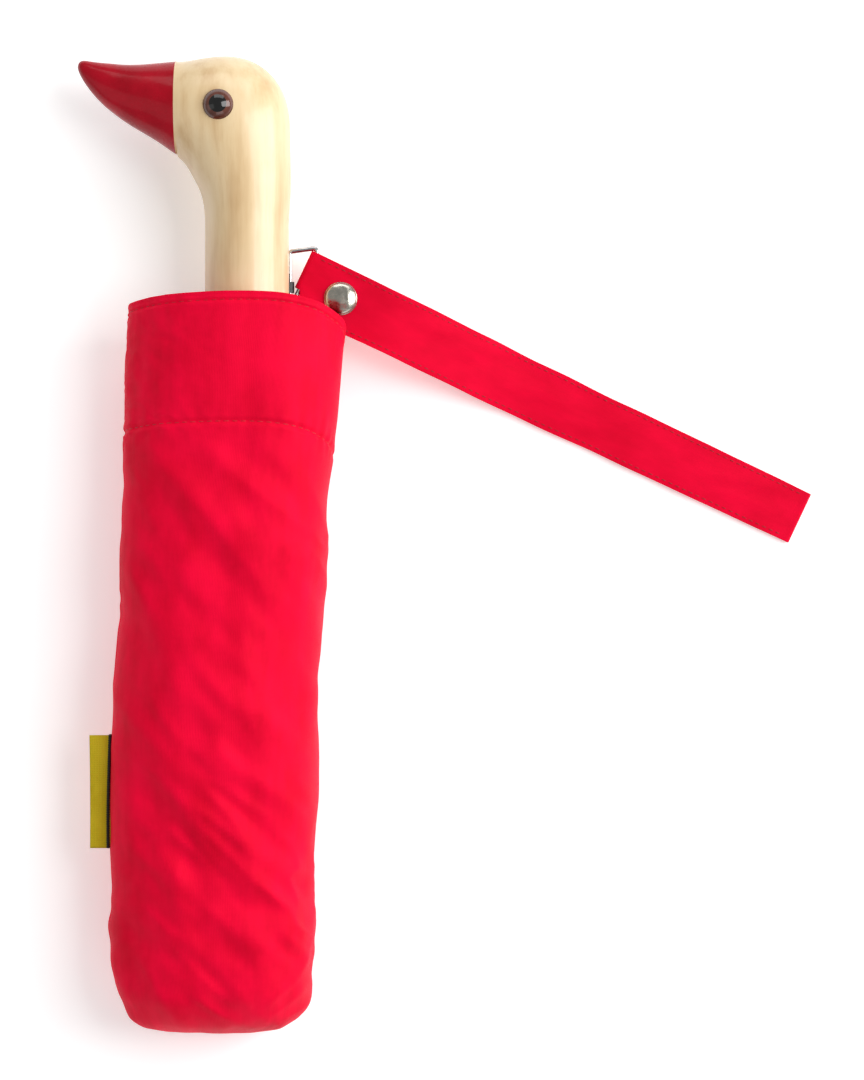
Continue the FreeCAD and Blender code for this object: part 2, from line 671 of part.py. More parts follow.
def make_head():
    sections = []
    for index, level in enumerate((0.0, 4.0)):
        ring = oval(f"neck_section_{index}", Vector(0, HEAD_START + level, 0), X_AXIS, Z_AXIS,
                    NECK_RADIUS, NECK_RADIUS)
        sections.append(ring)
    for index, (back, throat, half) in enumerate(HEAD_FAN):
        sections.append(head_section(f"head_section_{index}", head_point(back),
                                     head_point(throat), half))
    face_high = head_point((FACE_X, FACE_HIGH))
    face_low = head_point((FACE_X, FACE_LOW))
    sections.append(head_section("face_section", face_high, face_low, FACE_HALF))
    head = lofted("head_loft", sections)
    spigot = "(Sizes.neck_radius - Sizes.spigot_wall)"
    collar_top = "(Sizes.neck_end - Sizes.collar_floor + Sizes.collar_length)"
    bore_top = "(Sizes.neck_end + Sizes.bore_depth)"
    outline = [(cell("lower_radius"), cell("neck_end")), (spigot, cell("neck_end")),
               (spigot, collar_top), (cell("neck_radius"), collar_top),
               (cell("neck_radius"), cell("head_start")), (0, cell("head_start")),
               (0, bore_top), (cell("lower_radius"), bore_top)]
    neck = turned("neck_turning", outline)
    solid = fused("head_and_neck", [neck, head])

    length = 4 * NECK_RADIUS
    pin_hole = rod("pin_hole", cell("tube_pin_radius"), length,
                   Vector(-length / 2, PIN_LEVEL, 0), X_AXIS)
    dowel_hole = rod("dowel_hole", cell("beak_dowel_radius"), "Sizes.beak_dowel_length / 2",
                     dowel_base(), X_AXIS)
    screw_hole = rod("screw_hole", cell("keeper_screw"), 7, screw_base(), screw_direction())
    seats = []
    for side, name in ((1, "near"), (-1, "far")):
        seat = rod(f"{name}_eye_seat", cell("eye_radius"), 6, Vector(), Z_AXIS)
        seat.Placement = eye_place(side) * Placement(Vector(), Rotation(Z_AXIS, Y_AXIS))
        shank = rod(f"{name}_shank_hole", cell("shank_radius"), cell("shank_length"), Vector(), Z_AXIS)
        shank.Placement = eye_place(side) * Placement(Vector(), Rotation(Z_AXIS, -Y_AXIS))
        seats += [seat, shank]
    place(cut("handle_cut", solid, pin_hole, dowel_hole, screw_hole, *seats), "handle_head")


def dowel_base():
    middle = head_point((FACE_X, (FACE_LOW + FACE_HIGH) / 2))
    return middle


def make_beak():
    face_high = head_point((FACE_X, FACE_HIGH))
    face_low = head_point((FACE_X, FACE_LOW))
    sections = [head_section("beak_root", face_high, face_low, FACE_HALF)]
    for index, (ahead, low, high, half) in enumerate(BEAK):
        sections.append(head_section(f"beak_section_{index}", head_point((FACE_X - ahead, high)),
                                     head_point((FACE_X - ahead, low)), half))
    tip = doc.addObject("Part::Vertex", "beak_tip")
    end = head_point((FACE_X - BEAK_TIP[0], BEAK_TIP[1]))
    tip.X, tip.Y, tip.Z = end.x, end.y, end.z
    sections.append(tip)
    hole = rod("beak_dowel_hole", cell("beak_dowel_radius"), "Sizes.beak_dowel_length / 2",
               dowel_base(), -X_AXIS)
    place(cut("beak_cut", lofted("beak_loft", sections), hole), "beak")
    start = dowel_base() - Vector(size("beak_dowel_length") / 2, 0, 0)
    dowel = rod("dowel_rod", cell("beak_dowel_radius"), cell("beak_dowel_length"), Vector(), Z_AXIS)
    place(dowel, "beak_dowel", start, Rotation(Z_AXIS, X_AXIS))


def make_eyes():
    """Domed eyes on shanks; the pupil is a cap let into the front of each dome."""
    radius = size("eye_radius")
    rise = size("eye_rise")
    seat = size("eye_seat")
    ball = (radius ** 2 + rise ** 2) / (2 * rise)
    centre = seat + rise - ball
    pupil = size("pupil_radius")
    ledge = centre + math.sqrt(ball ** 2 - pupil ** 2) - 0.3
    for side, name in ((1, "near"), (-1, "far")):
        sphere = doc.addObject("Part::Sphere", f"{name}_eye_ball")
        sphere.Radius = ball
        sphere.Placement = Placement(Vector(0, centre, 0), Rotation())
        column = rod(f"{name}_eye_column", cell("eye_radius"), cell("eye_rise") + " + Sizes.eye_seat",
                     Vector(), Y_AXIS)
        dome = common(f"{name}_eye_dome", sphere, column)
        pocket = rod(f"{name}_pupil_pocket", cell("pupil_radius"), rise + seat, Vector(0, ledge, 0),
                     Y_AXIS)
        shank = rod(f"{name}_shank", cell("shank_radius"), cell("shank_length"), Vector(), -Y_AXIS)
        eye = fused(f"{name}_eye_solid", [cut(f"{name}_eye_cut", dome, pocket), shank])
        spot = eye_place(side)
        place(eye, f"eye_{name}", spot.Base, spot.Rotation)
        cap_ball = doc.addObject("Part::Sphere", f"{name}_pupil_ball")
        cap_ball.Radius = ball
        cap_ball.Placement = Placement(Vector(0, centre, 0), Rotation())
        cap_rod = rod(f"{name}_pupil_rod", cell("pupil_radius"), rise + seat, Vector(0, ledge, 0),
                      Y_AXIS)
        place(common(f"{name}_pupil_cap", cap_ball, cap_rod), f"pupil_{name}",
              spot.Base, spot.Rotation)


def make_collar():
    """Moulded cup under the neck, flush with the wood, that the lower tube passes through."""
    low = "(Sizes.neck_end - Sizes.collar_floor)"
    top = f"({low} + Sizes.collar_length)"
    inner = "(Sizes.neck_radius - Sizes.spigot_wall)"
    outline = [(cell("lower_radius"), low), ("(Sizes.neck_radius - 1)", low),
               (cell("neck_radius"), f"{low} + 1"), (cell("neck_radius"), top), (inner, top),
               (inner, cell("neck_end")), (cell("lower_radius"), cell("neck_end"))]
    body = turned("collar_body", outline)
    length = 4 * NECK_RADIUS
    hole = rod("collar_pin_hole", cell("tube_pin_radius"), length,
               Vector(-length / 2, PIN_LEVEL, 0), X_AXIS)
    place(cut("collar_cut", body, hole), "handle_collar")
    pin = rod("tube_pin_rod", cell("tube_pin_radius"), 2 * NECK_RADIUS - 1, Vector(), Z_AXIS)
    place(pin, "tube_pin", Vector(0.5 - NECK_RADIUS, PIN_LEVEL, 0), Rotation(Z_AXIS, X_AXIS))


# ---------------------------------------------------------------- ring, keeper, strap
AZIMUTH = math.radians(size("ring_azimuth"))
PIVOT_RADIUS = NECK_RADIUS + size("ring_standoff")
PIVOT = Vector(PIVOT_RADIUS * math.cos(AZIMUTH), 0, -PIVOT_RADIUS * math.sin(AZIMUTH))
STRAP_ANGLE = math.radians(size("strap_angle"))
ALONG = Vector(math.cos(STRAP_ANGLE), -math.sin(STRAP_ANGLE), 0)
ACROSS = Vector(math.sin(STRAP_ANGLE), math.cos(STRAP_ANGLE), 0)
RING_LOW = PIVOT + Vector(0, size("ring_level"), 0)
RING_TIP = RING_LOW + ACROSS * size("ring_leg")
RING_TOP = RING_LOW + Vector(0, size("ring_side"), 0)
STRAP_ORIGIN = RING_TIP - ACROSS * (size("strap_margin") + size("strap_half_width"))
# the wrap ends clear of the keeper, which sits by the ring's low corner
WRAP_END = size("wrap_clearance") + size("strap_margin") + size("strap_half_width") - size("ring_leg")


SNAP_SHANK = 1.3
TAB_PLAY = 0.08
CORNER_PLAY = 0.6


def rounded_loop(corners, radius):
    """Closed wire through the corners, each turned with an arc of the radius."""
    edges = []
    ends = []
    count = len(corners)
    for index in range(count):
        corner = corners[index]
        before = (corners[index - 1] - corner).normalize()
        after = (corners[(index + 1) % count] - corner).normalize()
        half = before.getAngle(after) / 2
        reach = radius / math.tan(half)
        middle = corner + (before + after).normalize() * (radius / math.sin(half) - radius)
        ends.append((corner + before * reach, middle, corner + after * reach))
    for index in range(count):
        entry, middle, leave = ends[index]
        edges.append(Part.Arc(entry, middle, leave).toShape())
        edges.append(Part.LineSegment(leave, ends[(index + 1) % count][0]).toShape())
    return Part.Wire(edges)


def make_ring():
    """Triangular wire ring; its straight side turns in the keeper's barrel."""
    path = rounded_loop([RING_LOW, RING_TIP, RING_TOP], size("ring_bend"))
    start = path.Edges[1].valueAt(path.Edges[1].FirstParameter)
    heading = path.Edges[1].tangentAt(path.Edges[1].FirstParameter)
    edges = path.Edges[1:] + path.Edges[:1]
    profile = Part.Wire(Part.Circle(start, heading, size("ring_wire")).toShape())
    item = doc.addObject("Part::Feature", "strap_ring")
    item.Shape = Part.Wire(edges).makePipeShell([profile], True, True)
    place(item, "strap_ring")


def screw_direction():
    """Into the neck, at the middle of the keeper's plate below the barrel."""
    angle = AZIMUTH + math.radians(30)
    return Vector(-math.cos(angle), 0, math.sin(angle))


def screw_base():
    outward = -screw_direction()
    level = size("barrel_level") + size("barrel_length") / 2
    return outward * (NECK_RADIUS + size("keeper_plate")) + Vector(0, level, 0)


def make_keeper():
    """Moulded barrel that holds the ring's straight side, on a curved plate screwed to the neck."""
    level = size("barrel_level")
    inner = cell("neck_radius")
    outer = "(Sizes.neck_radius + Sizes.keeper_plate)"
    low = level + size("barrel_length") / 2 - size("keeper_width") / 2
    high = low + size("keeper_width")
    ring = turned("keeper_ring", [(inner, low), (outer, low), (outer, high), (inner, high)])
    reach = 3 * NECK_RADIUS
    wedge = doc.addObject("Part::Feature", "keeper_wedge")
    first = AZIMUTH - math.radians(14)
    last = AZIMUTH + math.radians(50)
    corners = [Vector(), Vector(reach * math.cos(first), 0, -reach * math.sin(first)),
               Vector(reach * math.cos(last), 0, -reach * math.sin(last)), Vector()]
    wedge.Shape = Part.Face(Part.makePolygon(corners)).extrude(Vector(0, 2 * high, 0))
    plate = common("keeper_sector", ring, wedge)
    barrel_radius = "(Sizes.ring_wire + Sizes.ring_play + Sizes.barrel_wall)"
    barrel = rod("keeper_barrel", barrel_radius, cell("barrel_length"),
                 PIVOT + Vector(0, level, 0), Y_AXIS)
    neck = rod("keeper_neck_clearance", inner, cell("barrel_length"), Vector(0, level, 0), Y_AXIS)
    outward = Vector(PIVOT).normalize()
    web_turn = Rotation(Y_AXIS, math.degrees(AZIMUTH))
    web_width = size("ring_wire") + size("ring_play") + size("barrel_wall")
    web = box("keeper_web", size("ring_standoff") + 0.4, cell("barrel_length"), 2 * web_width,
              outward * (NECK_RADIUS - 0.4) + Vector(0, level, 0)
              + web_turn.multVec(Vector(0, 0, -web_width)), web_turn)
    bore = rod("keeper_bore", "(Sizes.ring_wire + Sizes.ring_play)", 20,
               PIVOT + Vector(0, level - 8, 0), Y_AXIS)
    screw_hole = rod("keeper_screw_hole", cell("keeper_screw"), 7, screw_base(), screw_direction())
    solid = cut("keeper_solid", fused("keeper_block", [barrel, web]), neck)
    place(cut("keeper_cut", fused("keeper_whole", [plate, solid]), bore, screw_hole), "ring_keeper")

    shank = rod("keeper_shank", cell("keeper_screw"), 7, screw_base(), screw_direction())
    button = rod("keeper_button", "(Sizes.keeper_screw * 1.9)", 0.7,
                 screw_base() - screw_direction() * 0.7, screw_direction())
    place(fused("keeper_screw_solid", [shank, button]), "keeper_screw")


def ramp_point(offset, station):
    """Points of the strap's side profile at an offset from the plane of the ring's leg.

    The profile runs level past the snap, ramps down through two arcs and runs level on the table.
    """
    radius = size("ramp_radius")
    angle = math.radians(size("ramp_angle"))
    start = size("ramp_start")
    drop = AXIS_HEIGHT + PIVOT.z - size("floor_gap") + STRAP_LOW
    slope = (drop - 2 * radius * (1 - math.cos(angle))) / math.sin(angle)
    first = Vector(start, 0, -radius)
    foot = first + Vector(math.sin(angle), 0, math.cos(angle)) * radius \
        + Vector(math.cos(angle), 0, -math.sin(angle)) * slope
    second = foot + Vector(math.sin(angle), 0, math.cos(angle)) * radius
    bearings = {
        "crest": (first, 0, radius + offset),
        "crest_middle": (first, angle / 2, radius + offset),
        "brow": (first, angle, radius + offset),
        "hollow": (second, angle, -(radius - offset)),
        "hollow_middle": (second, angle / 2, -(radius - offset)),
        "landing": (second, 0, -(radius - offset)),
    }
    centre, turn, reach = bearings[station]
    return centre + Vector(math.sin(turn), 0, math.cos(turn)) * reach


STRAP_HIGH = size("ring_wire") + size("ring_play") + size("strap_thickness")
STRAP_INNER = size("ring_wire") + size("ring_play")
STRAP_LOW = STRAP_INNER - size("strap_gap") - size("strap_thickness")


def ramp_edges(offset, start, end):
    """Edges of the side profile at one offset, from the start station to the end station."""
    points = {name: ramp_point(offset, name) for name in
              ("crest", "crest_middle", "brow", "hollow", "hollow_middle", "landing")}
    landing = points["landing"]
    return [
        Part.LineSegment(Vector(start, 0, offset), points["crest"]).toShape(),
        Part.Arc(points["crest"], points["crest_middle"], points["brow"]).toShape(),
        Part.LineSegment(points["brow"], points["hollow"]).toShape(),
        Part.Arc(points["hollow"], points["hollow_middle"], landing).toShape(),
        Part.LineSegment(landing, Vector(end, 0, landing.z)).toShape(),
    ]


def strap_frame():
    """Placement that takes the strap's own axes to the ring's leg."""
    return Placement(STRAP_ORIGIN, Rotation(ALONG, ACROSS, Z_AXIS, "XYZ"))


def plan_prism(start, end, corner_cut):
    """Tall prism over the strap's plan: it tapers to the far end and its inner corner is cut off."""
    length = size("strap_length")
    near = size("strap_half_width")
    far = size("strap_far_half")

    def half(station):
        return near + (far - near) * max(station, 0) / length

    corners = [(start, half(start)), (end, half(end)), (end, -half(end))]
    if corner_cut:
        shift = math.tan(STRAP_ANGLE)
        corners += [((near + WRAP_END) * shift + CORNER_PLAY, -near), (CORNER_PLAY, WRAP_END),
                    (start, WRAP_END)]
    else:
        corners += [(start, -half(start))]
    points = [Vector(s, t, -60) for s, t in corners + corners[:1]]
    return Part.Face(Part.makePolygon(points)).extrude(Vector(0, 0, 120))


def make_strap():
    """Wrist loop lying flat: upper layer, folded back under itself at the far end."""
    near = size("strap_half_width")
    length = size("strap_length")
    thick = size("strap_thickness")
    fold = length - STRAP_HIGH
    upper = ramp_edges(STRAP_HIGH, 0, fold)
    under = ramp_edges(STRAP_LOW, size("ramp_start") - 2, fold)
    inner_top = ramp_edges(STRAP_INNER, 0, fold)
    inner_low = ramp_edges(STRAP_LOW + thick, size("ramp_start") - 2, fold)

    def last(edges):
        return edges[-1].Vertexes[-1].Point

    def arc(high, low, reach):
        middle = (high + low) * 0.5 + Vector(reach, 0, 0)
        return Part.Arc(high, middle, low).toShape()

    bend_outer = (last(upper).z - last(under).z) / 2
    bend_inner = (last(inner_top).z - last(inner_low).z) / 2
    wrap = Part.Arc(Vector(0, 0, -STRAP_HIGH), Vector(-STRAP_HIGH, 0, 0),
                    Vector(0, 0, STRAP_HIGH)).toShape()
    wrap_inner = Part.Arc(Vector(0, 0, STRAP_INNER), Vector(-STRAP_INNER, 0, 0),
                          Vector(0, 0, -STRAP_INNER)).toShape()
    root = size("ramp_start") - 2
    loop = upper + [arc(last(upper), last(under), bend_outer)] + list(reversed(under))
    loop += [Part.LineSegment(Vector(root, 0, STRAP_LOW), Vector(root, 0, STRAP_LOW + thick)).toShape()]
    loop += inner_low + [arc(last(inner_top), last(inner_low), bend_inner)]
    loop += list(reversed(inner_top))
    loop += [wrap_inner]
    loop += [Part.LineSegment(Vector(0, 0, -STRAP_INNER), Vector(0, 0, -STRAP_HIGH)).toShape(), wrap]
    profile = Part.Face(Part.Wire(Part.__sortEdges__(loop)))
    profile.translate(Vector(0, -2 * near, 0))
    solid = profile.extrude(Vector(0, 4 * near, 0)).common(plan_prism(-10, length + 10, True))
    hole = Part.makeCylinder(SNAP_SHANK, 20, Vector(size("snap_setback"), 0, -10), Z_AXIS)
    solid = solid.cut(hole)
    item = doc.addObject("Part::Feature", "wrist_strap")
    item.Shape = solid
    frame = strap_frame()
    place(item, "wrist_strap", frame.Base, frame.Rotation)


def make_tab():
    """Tab under the strap's near end; it swings down from the wrap when the snap is undone."""
    thick = size("strap_thickness")
    plate = Part.makeBox(size("tab_length") - TAB_PLAY, 4 * size("strap_half_width"), thick,
                         Vector(TAB_PLAY, -2 * size("strap_half_width"), -STRAP_INNER - thick))
    solid = plate.common(plan_prism(-10, size("tab_length"), True))
    hole = Part.makeCylinder(SNAP_SHANK, 20, Vector(size("snap_setback"), 0, -10), Z_AXIS)
    item = doc.addObject("Part::Feature", "strap_tab")
    item.Shape = solid.cut(hole)
    frame = strap_frame()
    place(item, "strap_tab", frame.Base, frame.Rotation)


def snap_piece(label, outline):
    """Turned snap fitting, upright at the snap's place on the strap."""
    frame = strap_frame()
    base = frame.Base + frame.Rotation.multVec(Vector(size("snap_setback"), 0, 0))
    place(turned(label + "_body", outline), label, base, Rotation(Y_AXIS, Z_AXIS))


def make_snap():
    top = STRAP_HIGH
    rise = size("snap_rise")
    radius = cell("snap_radius")
    dome = [(0, top), (radius, top), (radius, top + 0.45), (f"{radius} * 0.9", top + 0.3 * rise + 0.3),
            (f"{radius} * 0.68", top + 0.3 * rise + 0.7), (f"{radius} * 0.4", top + rise - 0.15),
            (0, top + rise)]
    shank = [(SNAP_SHANK, STRAP_INNER - 0.6), (SNAP_SHANK, top)]
    snap_piece("snap_cap", [(0, STRAP_INNER - 0.6)] + shank + dome[1:])
    socket_top = STRAP_INNER
    snap_piece("snap_socket", [(SNAP_SHANK, socket_top), (SNAP_SHANK, socket_top - 0.6),
                               (2.0, socket_top - 0.6), (2.0, socket_top - 1.3),
                               (3.4, socket_top - 1.3), (4.6, socket_top - 0.3),
                               (4.6, socket_top)])
    base = -STRAP_INNER
    snap_piece("snap_stud", [(0, base + 1.1), (0, base), (4.2, base), (4.2, base + 0.3),
                             (1.5, base + 0.35), (1.5, base + 0.9), (1.2, base + 1.1)])
    low = base - size("strap_thickness")
    snap_piece("snap_post", [(0, base), (0, low - 0.4), (3.6, low - 0.4), (4.0, low),
                             (SNAP_SHANK, low), (SNAP_SHANK, base)])


# ---------------------------------------------------------------- sleeve
SLEEVE_END = CROWN_END - size("tip_length") - size("sleeve_slack") - size("sleeve_wall") - 5.9
SLEEVE_HALF = canopy_outer + size("sleeve_room")
TALL = AXIS_HEIGHT + size("sleeve_sag")
SLEEVE_MOUTH = NECK_END + size("mouth_level")
MOUTH_FAR = SLEEVE_MOUTH + 14.0


def sleeve_stations():
    """Level, centre, half width, centre height and half height of each section of the sleeve."""
    half = SLEEVE_HALF
    flare = size("mouth_flare")
    high = SLEEVE_MOUTH - 38
    low = SLEEVE_END + 32
    rows = [
        (MOUTH_FAR, half + flare, 0.0, TALL),
        (SLEEVE_MOUTH - 8, half + flare - 0.3, 0.0, TALL),
        (high, half + 0.4, 0.0, TALL),
    ]
    rows += [(high + (low - high) * share, half + 0.1, 0.0, TALL) for share in (0.2, 0.4, 0.6, 0.8)]
    rows += [
        (low, half, 0.0, TALL),
        (SLEEVE_END + 13.5, half - 3.2, -1.0, TALL - 1.0),
        (SLEEVE_END + 6.5, half - 5.6, -2.4, TALL - 3.2),
        (SLEEVE_END + 2.5, half - 11.0, -5.5, TALL - 8.0),
        (SLEEVE_END, half - 19.0, -7.5, TALL - 13.0),
    ]
    stations = []
    for level, width, lift, tall in rows:
        centre = max(level, SLEEVE_END + 30) * size("sleeve_lean") + size("sleeve_offset")
        stations.append((level, centre, width, lift, tall))
    return stations


def sleeve_loft(name, inset):
    sections = []
    for index, (level, centre, width, lift, tall) in enumerate(sleeve_stations()):
        rise = inset if level == SLEEVE_END else 0.0
        sections.append(oval(f"{name}_{index}", Vector(centre, level + rise, lift), X_AXIS, Z_AXIS,
                             width - inset, tall - inset))
    return lofted(name + "_loft", sections)


def make_sleeve():
    """Fabric tube, closed at the crown end, flat where it lies, with its mouth cut on a slant."""
    wall = size("sleeve_wall")
    reach = 4 * SLEEVE_HALF
    span = MOUTH_FAR - SLEEVE_END + 40
    outer_room = box("sleeve_outer_room", reach, span, reach,
                     Vector(-reach / 2 - 10, SLEEVE_END - 20, -AXIS_HEIGHT))
    inner_room = box("sleeve_inner_room", reach, span, reach,
                     Vector(-reach / 2 - 10, SLEEVE_END - 20, -AXIS_HEIGHT + wall))
    outer = common("sleeve_outer", sleeve_loft("sleeve_out", 0.0), outer_room)
    inner = common("sleeve_inner", sleeve_loft("sleeve_in", wall), inner_room)
    normal = Vector(size("mouth_slope"), 1, -size("mouth_tilt"))
    turn = Rotation(Y_AXIS, normal)
    middle = Vector(-3, SLEEVE_MOUTH, 0)
    mouth = box("sleeve_mouth_cut", 2 * reach, reach, 2 * reach,
                middle + turn.multVec(Vector(-reach, 0, -reach)), turn)
    place(cut("sleeve_cut", outer, inner, mouth), "sleeve")
    return outer


def make_tag(sleeve_outer):
    """Folded woven tag, sewn into the side seam of the sleeve: it starts at the sleeve's face."""
    centre = size("tag_level") * size("sleeve_lean") + size("sleeve_offset")
    edge = centre - SLEEVE_HALF
    root = 3.0
    plate = box("tag_plate", size("tag_reach") + root, cell("tag_length"), cell("tag_thickness"),
                Vector(edge - size("tag_reach"), size("tag_level") - size("tag_length") / 2,
                       -size("tag_thickness") / 2))
    place(cut("tag_cut", plate, sleeve_outer), "sleeve_tag")


# ---------------------------------------------------------------- assembly
make_upper_tube()
make_middle_tube()
make_lower_tube()
make_button_catch("middle_catch", MIDDLE_BASE, middle_inner, upper_inner - 0.15)
make_button_catch("lower_catch", LOWER_BASE, size("lower_radius") - size("tube_wall"),
                  middle_inner - 0.1)
make_runner_catch()
make_frame_ribs()
make_runner()
make_crown()
make_tip_cap()
make_canopy()
make_head()
make_beak()
make_eyes()
make_collar()
make_ring()
make_keeper()
make_strap()
make_tab()
make_snap()
make_tag(make_sleeve())

doc.recompute()
for item in doc.Objects:
    if "Invalid" in item.State or "Error" in item.State:
        raise RuntimeError(f"{item.Label} failed to build")
for label, item in nodes.items():
    if item.Shape.isNull() or not item.Shape.isValid():
        raise RuntimeError(f"{label} has no valid shape")

os.makedirs("parts", exist_ok=True)
for label, item in nodes.items():
    item.Shape.exportStep(f"parts/{label}.step")
    box_of = item.Shape.BoundBox
    print(f"{label}: {len(item.Shape.Solids)} solids, {item.Shape.Volume:.1f} mm3, "
          f"x {box_of.XMin:.1f}..{box_of.XMax:.1f} y {box_of.YMin:.1f}..{box_of.YMax:.1f} "
          f"z {box_of.ZMin:.1f}..{box_of.ZMax:.1f}")
print(f"{len(nodes)} nodes")
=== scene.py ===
import json
import math

import bpy
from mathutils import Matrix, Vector, noise


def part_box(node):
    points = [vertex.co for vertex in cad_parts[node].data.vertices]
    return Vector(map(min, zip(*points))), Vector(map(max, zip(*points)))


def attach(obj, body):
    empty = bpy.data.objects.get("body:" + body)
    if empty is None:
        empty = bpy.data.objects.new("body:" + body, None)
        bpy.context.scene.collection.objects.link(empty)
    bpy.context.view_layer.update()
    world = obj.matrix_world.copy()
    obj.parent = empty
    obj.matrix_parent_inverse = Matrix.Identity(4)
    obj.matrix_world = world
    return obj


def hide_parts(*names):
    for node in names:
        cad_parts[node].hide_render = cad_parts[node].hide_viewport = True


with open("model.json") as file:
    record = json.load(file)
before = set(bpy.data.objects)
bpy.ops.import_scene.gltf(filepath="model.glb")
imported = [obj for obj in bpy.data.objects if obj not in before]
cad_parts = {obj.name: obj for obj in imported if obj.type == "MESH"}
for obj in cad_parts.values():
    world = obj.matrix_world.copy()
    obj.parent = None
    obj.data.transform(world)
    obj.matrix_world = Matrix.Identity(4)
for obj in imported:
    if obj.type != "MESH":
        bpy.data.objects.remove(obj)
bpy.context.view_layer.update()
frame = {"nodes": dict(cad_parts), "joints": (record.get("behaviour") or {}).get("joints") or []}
nodes = frame["nodes"]

MM = 0.001
TURN = 2 * math.pi


# ---------------------------------------------------------------- curves and meshes
def smooth_through(stations, where):
    """Value at a place on the smooth curve through stations (place, value, value, ...)."""
    count = len(stations)
    spot = 1
    while spot < count - 1 and stations[spot][0] < where:
        spot += 1
    low, high = stations[spot - 1], stations[spot]
    before = stations[max(spot - 2, 0)]
    after = stations[min(spot + 1, count - 1)]
    span = high[0] - low[0]
    share = min(max((where - low[0]) / span, 0.0), 1.0)
    values = []
    for column in range(1, len(low)):
        slope_low = (high[column] - before[column]) / max(high[0] - before[0], 1e-6) * span
        slope_high = (after[column] - low[column]) / max(after[0] - low[0], 1e-6) * span
        cube, square = share ** 3, share ** 2
        values.append((2 * cube - 3 * square + 1) * low[column] + (cube - 2 * square + share) * slope_low
                      + (3 * square - 2 * cube) * high[column] + (cube - square) * slope_high)
    return values


def bell(distance, width):
    """Smooth bump of height 1 at zero distance."""
    return math.exp(-(distance / width) ** 2)


def grade(low, high, value):
    """Smooth step from 0 at low to 1 at high."""
    share = min(max((value - low) / (high - low), 0.0), 1.0)
    return share * share * (3 - 2 * share)


def steps(*stretches):
    """Stations along a length: each stretch is its end and its spacing."""
    stations = [0.0]
    for end, spacing in stretches:
        count = max(1, round((end - stations[-1]) / spacing))
        start = stations[-1]
        stations += [start + (end - start) * (index + 1) / count for index in range(count)]
    return stations


def cloth_uv(mesh, places):
    """Weave coordinates, in metres across the cloth, for each corner of each face."""
    layer = mesh.uv_layers.new(name="cloth")
    for loop in mesh.loops:
        layer.data[loop.index].uv = places[loop.vertex_index]


def new_piece(name, points, faces, places=None):
    """Smooth-shaded mesh object from points in millimetres."""
    mesh = bpy.data.meshes.new(name)
    mesh.from_pydata([Vector(point) * MM for point in points], [], faces)
    mesh.validate()
    for face in mesh.polygons:
        face.use_smooth = True
    if places:
        cloth_uv(mesh, places)
    piece = bpy.data.objects.new(name, mesh)
    bpy.context.scene.collection.objects.link(piece)
    return piece


def grid_faces(rows, columns, closed, first=0):
    """Quads of a grid of points, closed round its columns or open."""
    faces = []
    for row in range(rows - 1):
        for column in range(columns if closed else columns - 1):
            beside = (column + 1) % columns
            faces.append((first + row * columns + column, first + row * columns + beside,
                          first + (row + 1) * columns + beside, first + (row + 1) * columns + column))
    return faces


def thicken(piece, thickness, offset=-1.0):
    """Gives a sheet its real thickness in the mesh."""
    solid = piece.modifiers.new("thickness", "SOLIDIFY")
    solid.thickness = thickness * MM
    solid.offset = offset
    solid.use_even_offset = False


def lathe(name, outline, base, axis, slices=64):
    """Turned piece: outline of (radius, height) about an axis through base, in millimetres."""
    up = Vector(axis).normalized()
    side = up.orthogonal().normalized()
    across = up.cross(side)
    points = []
    for radius, height in outline:
        for index in range(slices):
            angle = TURN * index / slices
            ray = side * math.cos(angle) + across * math.sin(angle)
            points.append(Vector(base) + up * height + ray * max(radius, 0.01))
    faces = grid_faces(len(outline), slices, True)
    faces.append(tuple(reversed(range(slices))))
    faces.append(tuple(range((len(outline) - 1) * slices, len(outline) * slices)))
    return new_piece(name, points, faces)


def stitches(name, path, pitch, length, thread):
    """Row of thread stitches along a path of (point, outward direction) pairs."""
    points = []
    faces = []
    travelled = 0.0
    target = pitch / 2
    for (spot, out), (ahead, _) in zip(path, path[1:]):
        gap = (ahead - spot).length
        if gap < 1e-6:
            continue
        forward = (ahead - spot) / gap
        while target <= travelled + gap:
            centre = spot + forward * (target - travelled) + out * thread * 0.35
            side = out.cross(forward).normalized()
            first = len(points)
            for reach, swell in ((-0.5, 0.25), (-0.32, 0.85), (0.0, 1.0), (0.32, 0.85), (0.5, 0.25)):
                dip = out * (-thread * 1.2 * (2 * reach) ** 4)
                for corner in range(6):
                    angle = TURN * corner / 6
                    ray = side * math.cos(angle) + out * math.sin(angle)
                    points.append(centre + forward * length * reach + dip + ray * thread * swell)
            faces += grid_faces(5, 6, True, first)
            faces.append(tuple(first + 5 - corner for corner in range(6)))
            faces.append(tuple(first + 24 + corner for corner in range(6)))
            target += pitch
        travelled += gap
    return new_piece(name, points, faces)


# ---------------------------------------------------------------- places taken from the frame
def span(node):
    """Low and high corners of a CAD piece, in millimetres."""
    low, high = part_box(node)
    return Vector(low) / MM, Vector(high) / MM


sleeve_low = span("sleeve")[0]
canopy_low, canopy_high = span("canopy")
tie_low, tie_high = span("canopy_tie")
cap_low, cap_high = span("snap_cap")
tag_low, tag_high = span("sleeve_tag")

AXIS_HEIGHT = (canopy_low.z + canopy_high.z) / 2
SLEEVE_END = sleeve_low.y


def joint_of(name):
    """The frame's joint of that name."""
    return next(joint for joint in frame["joints"] if joint["name"] == name)


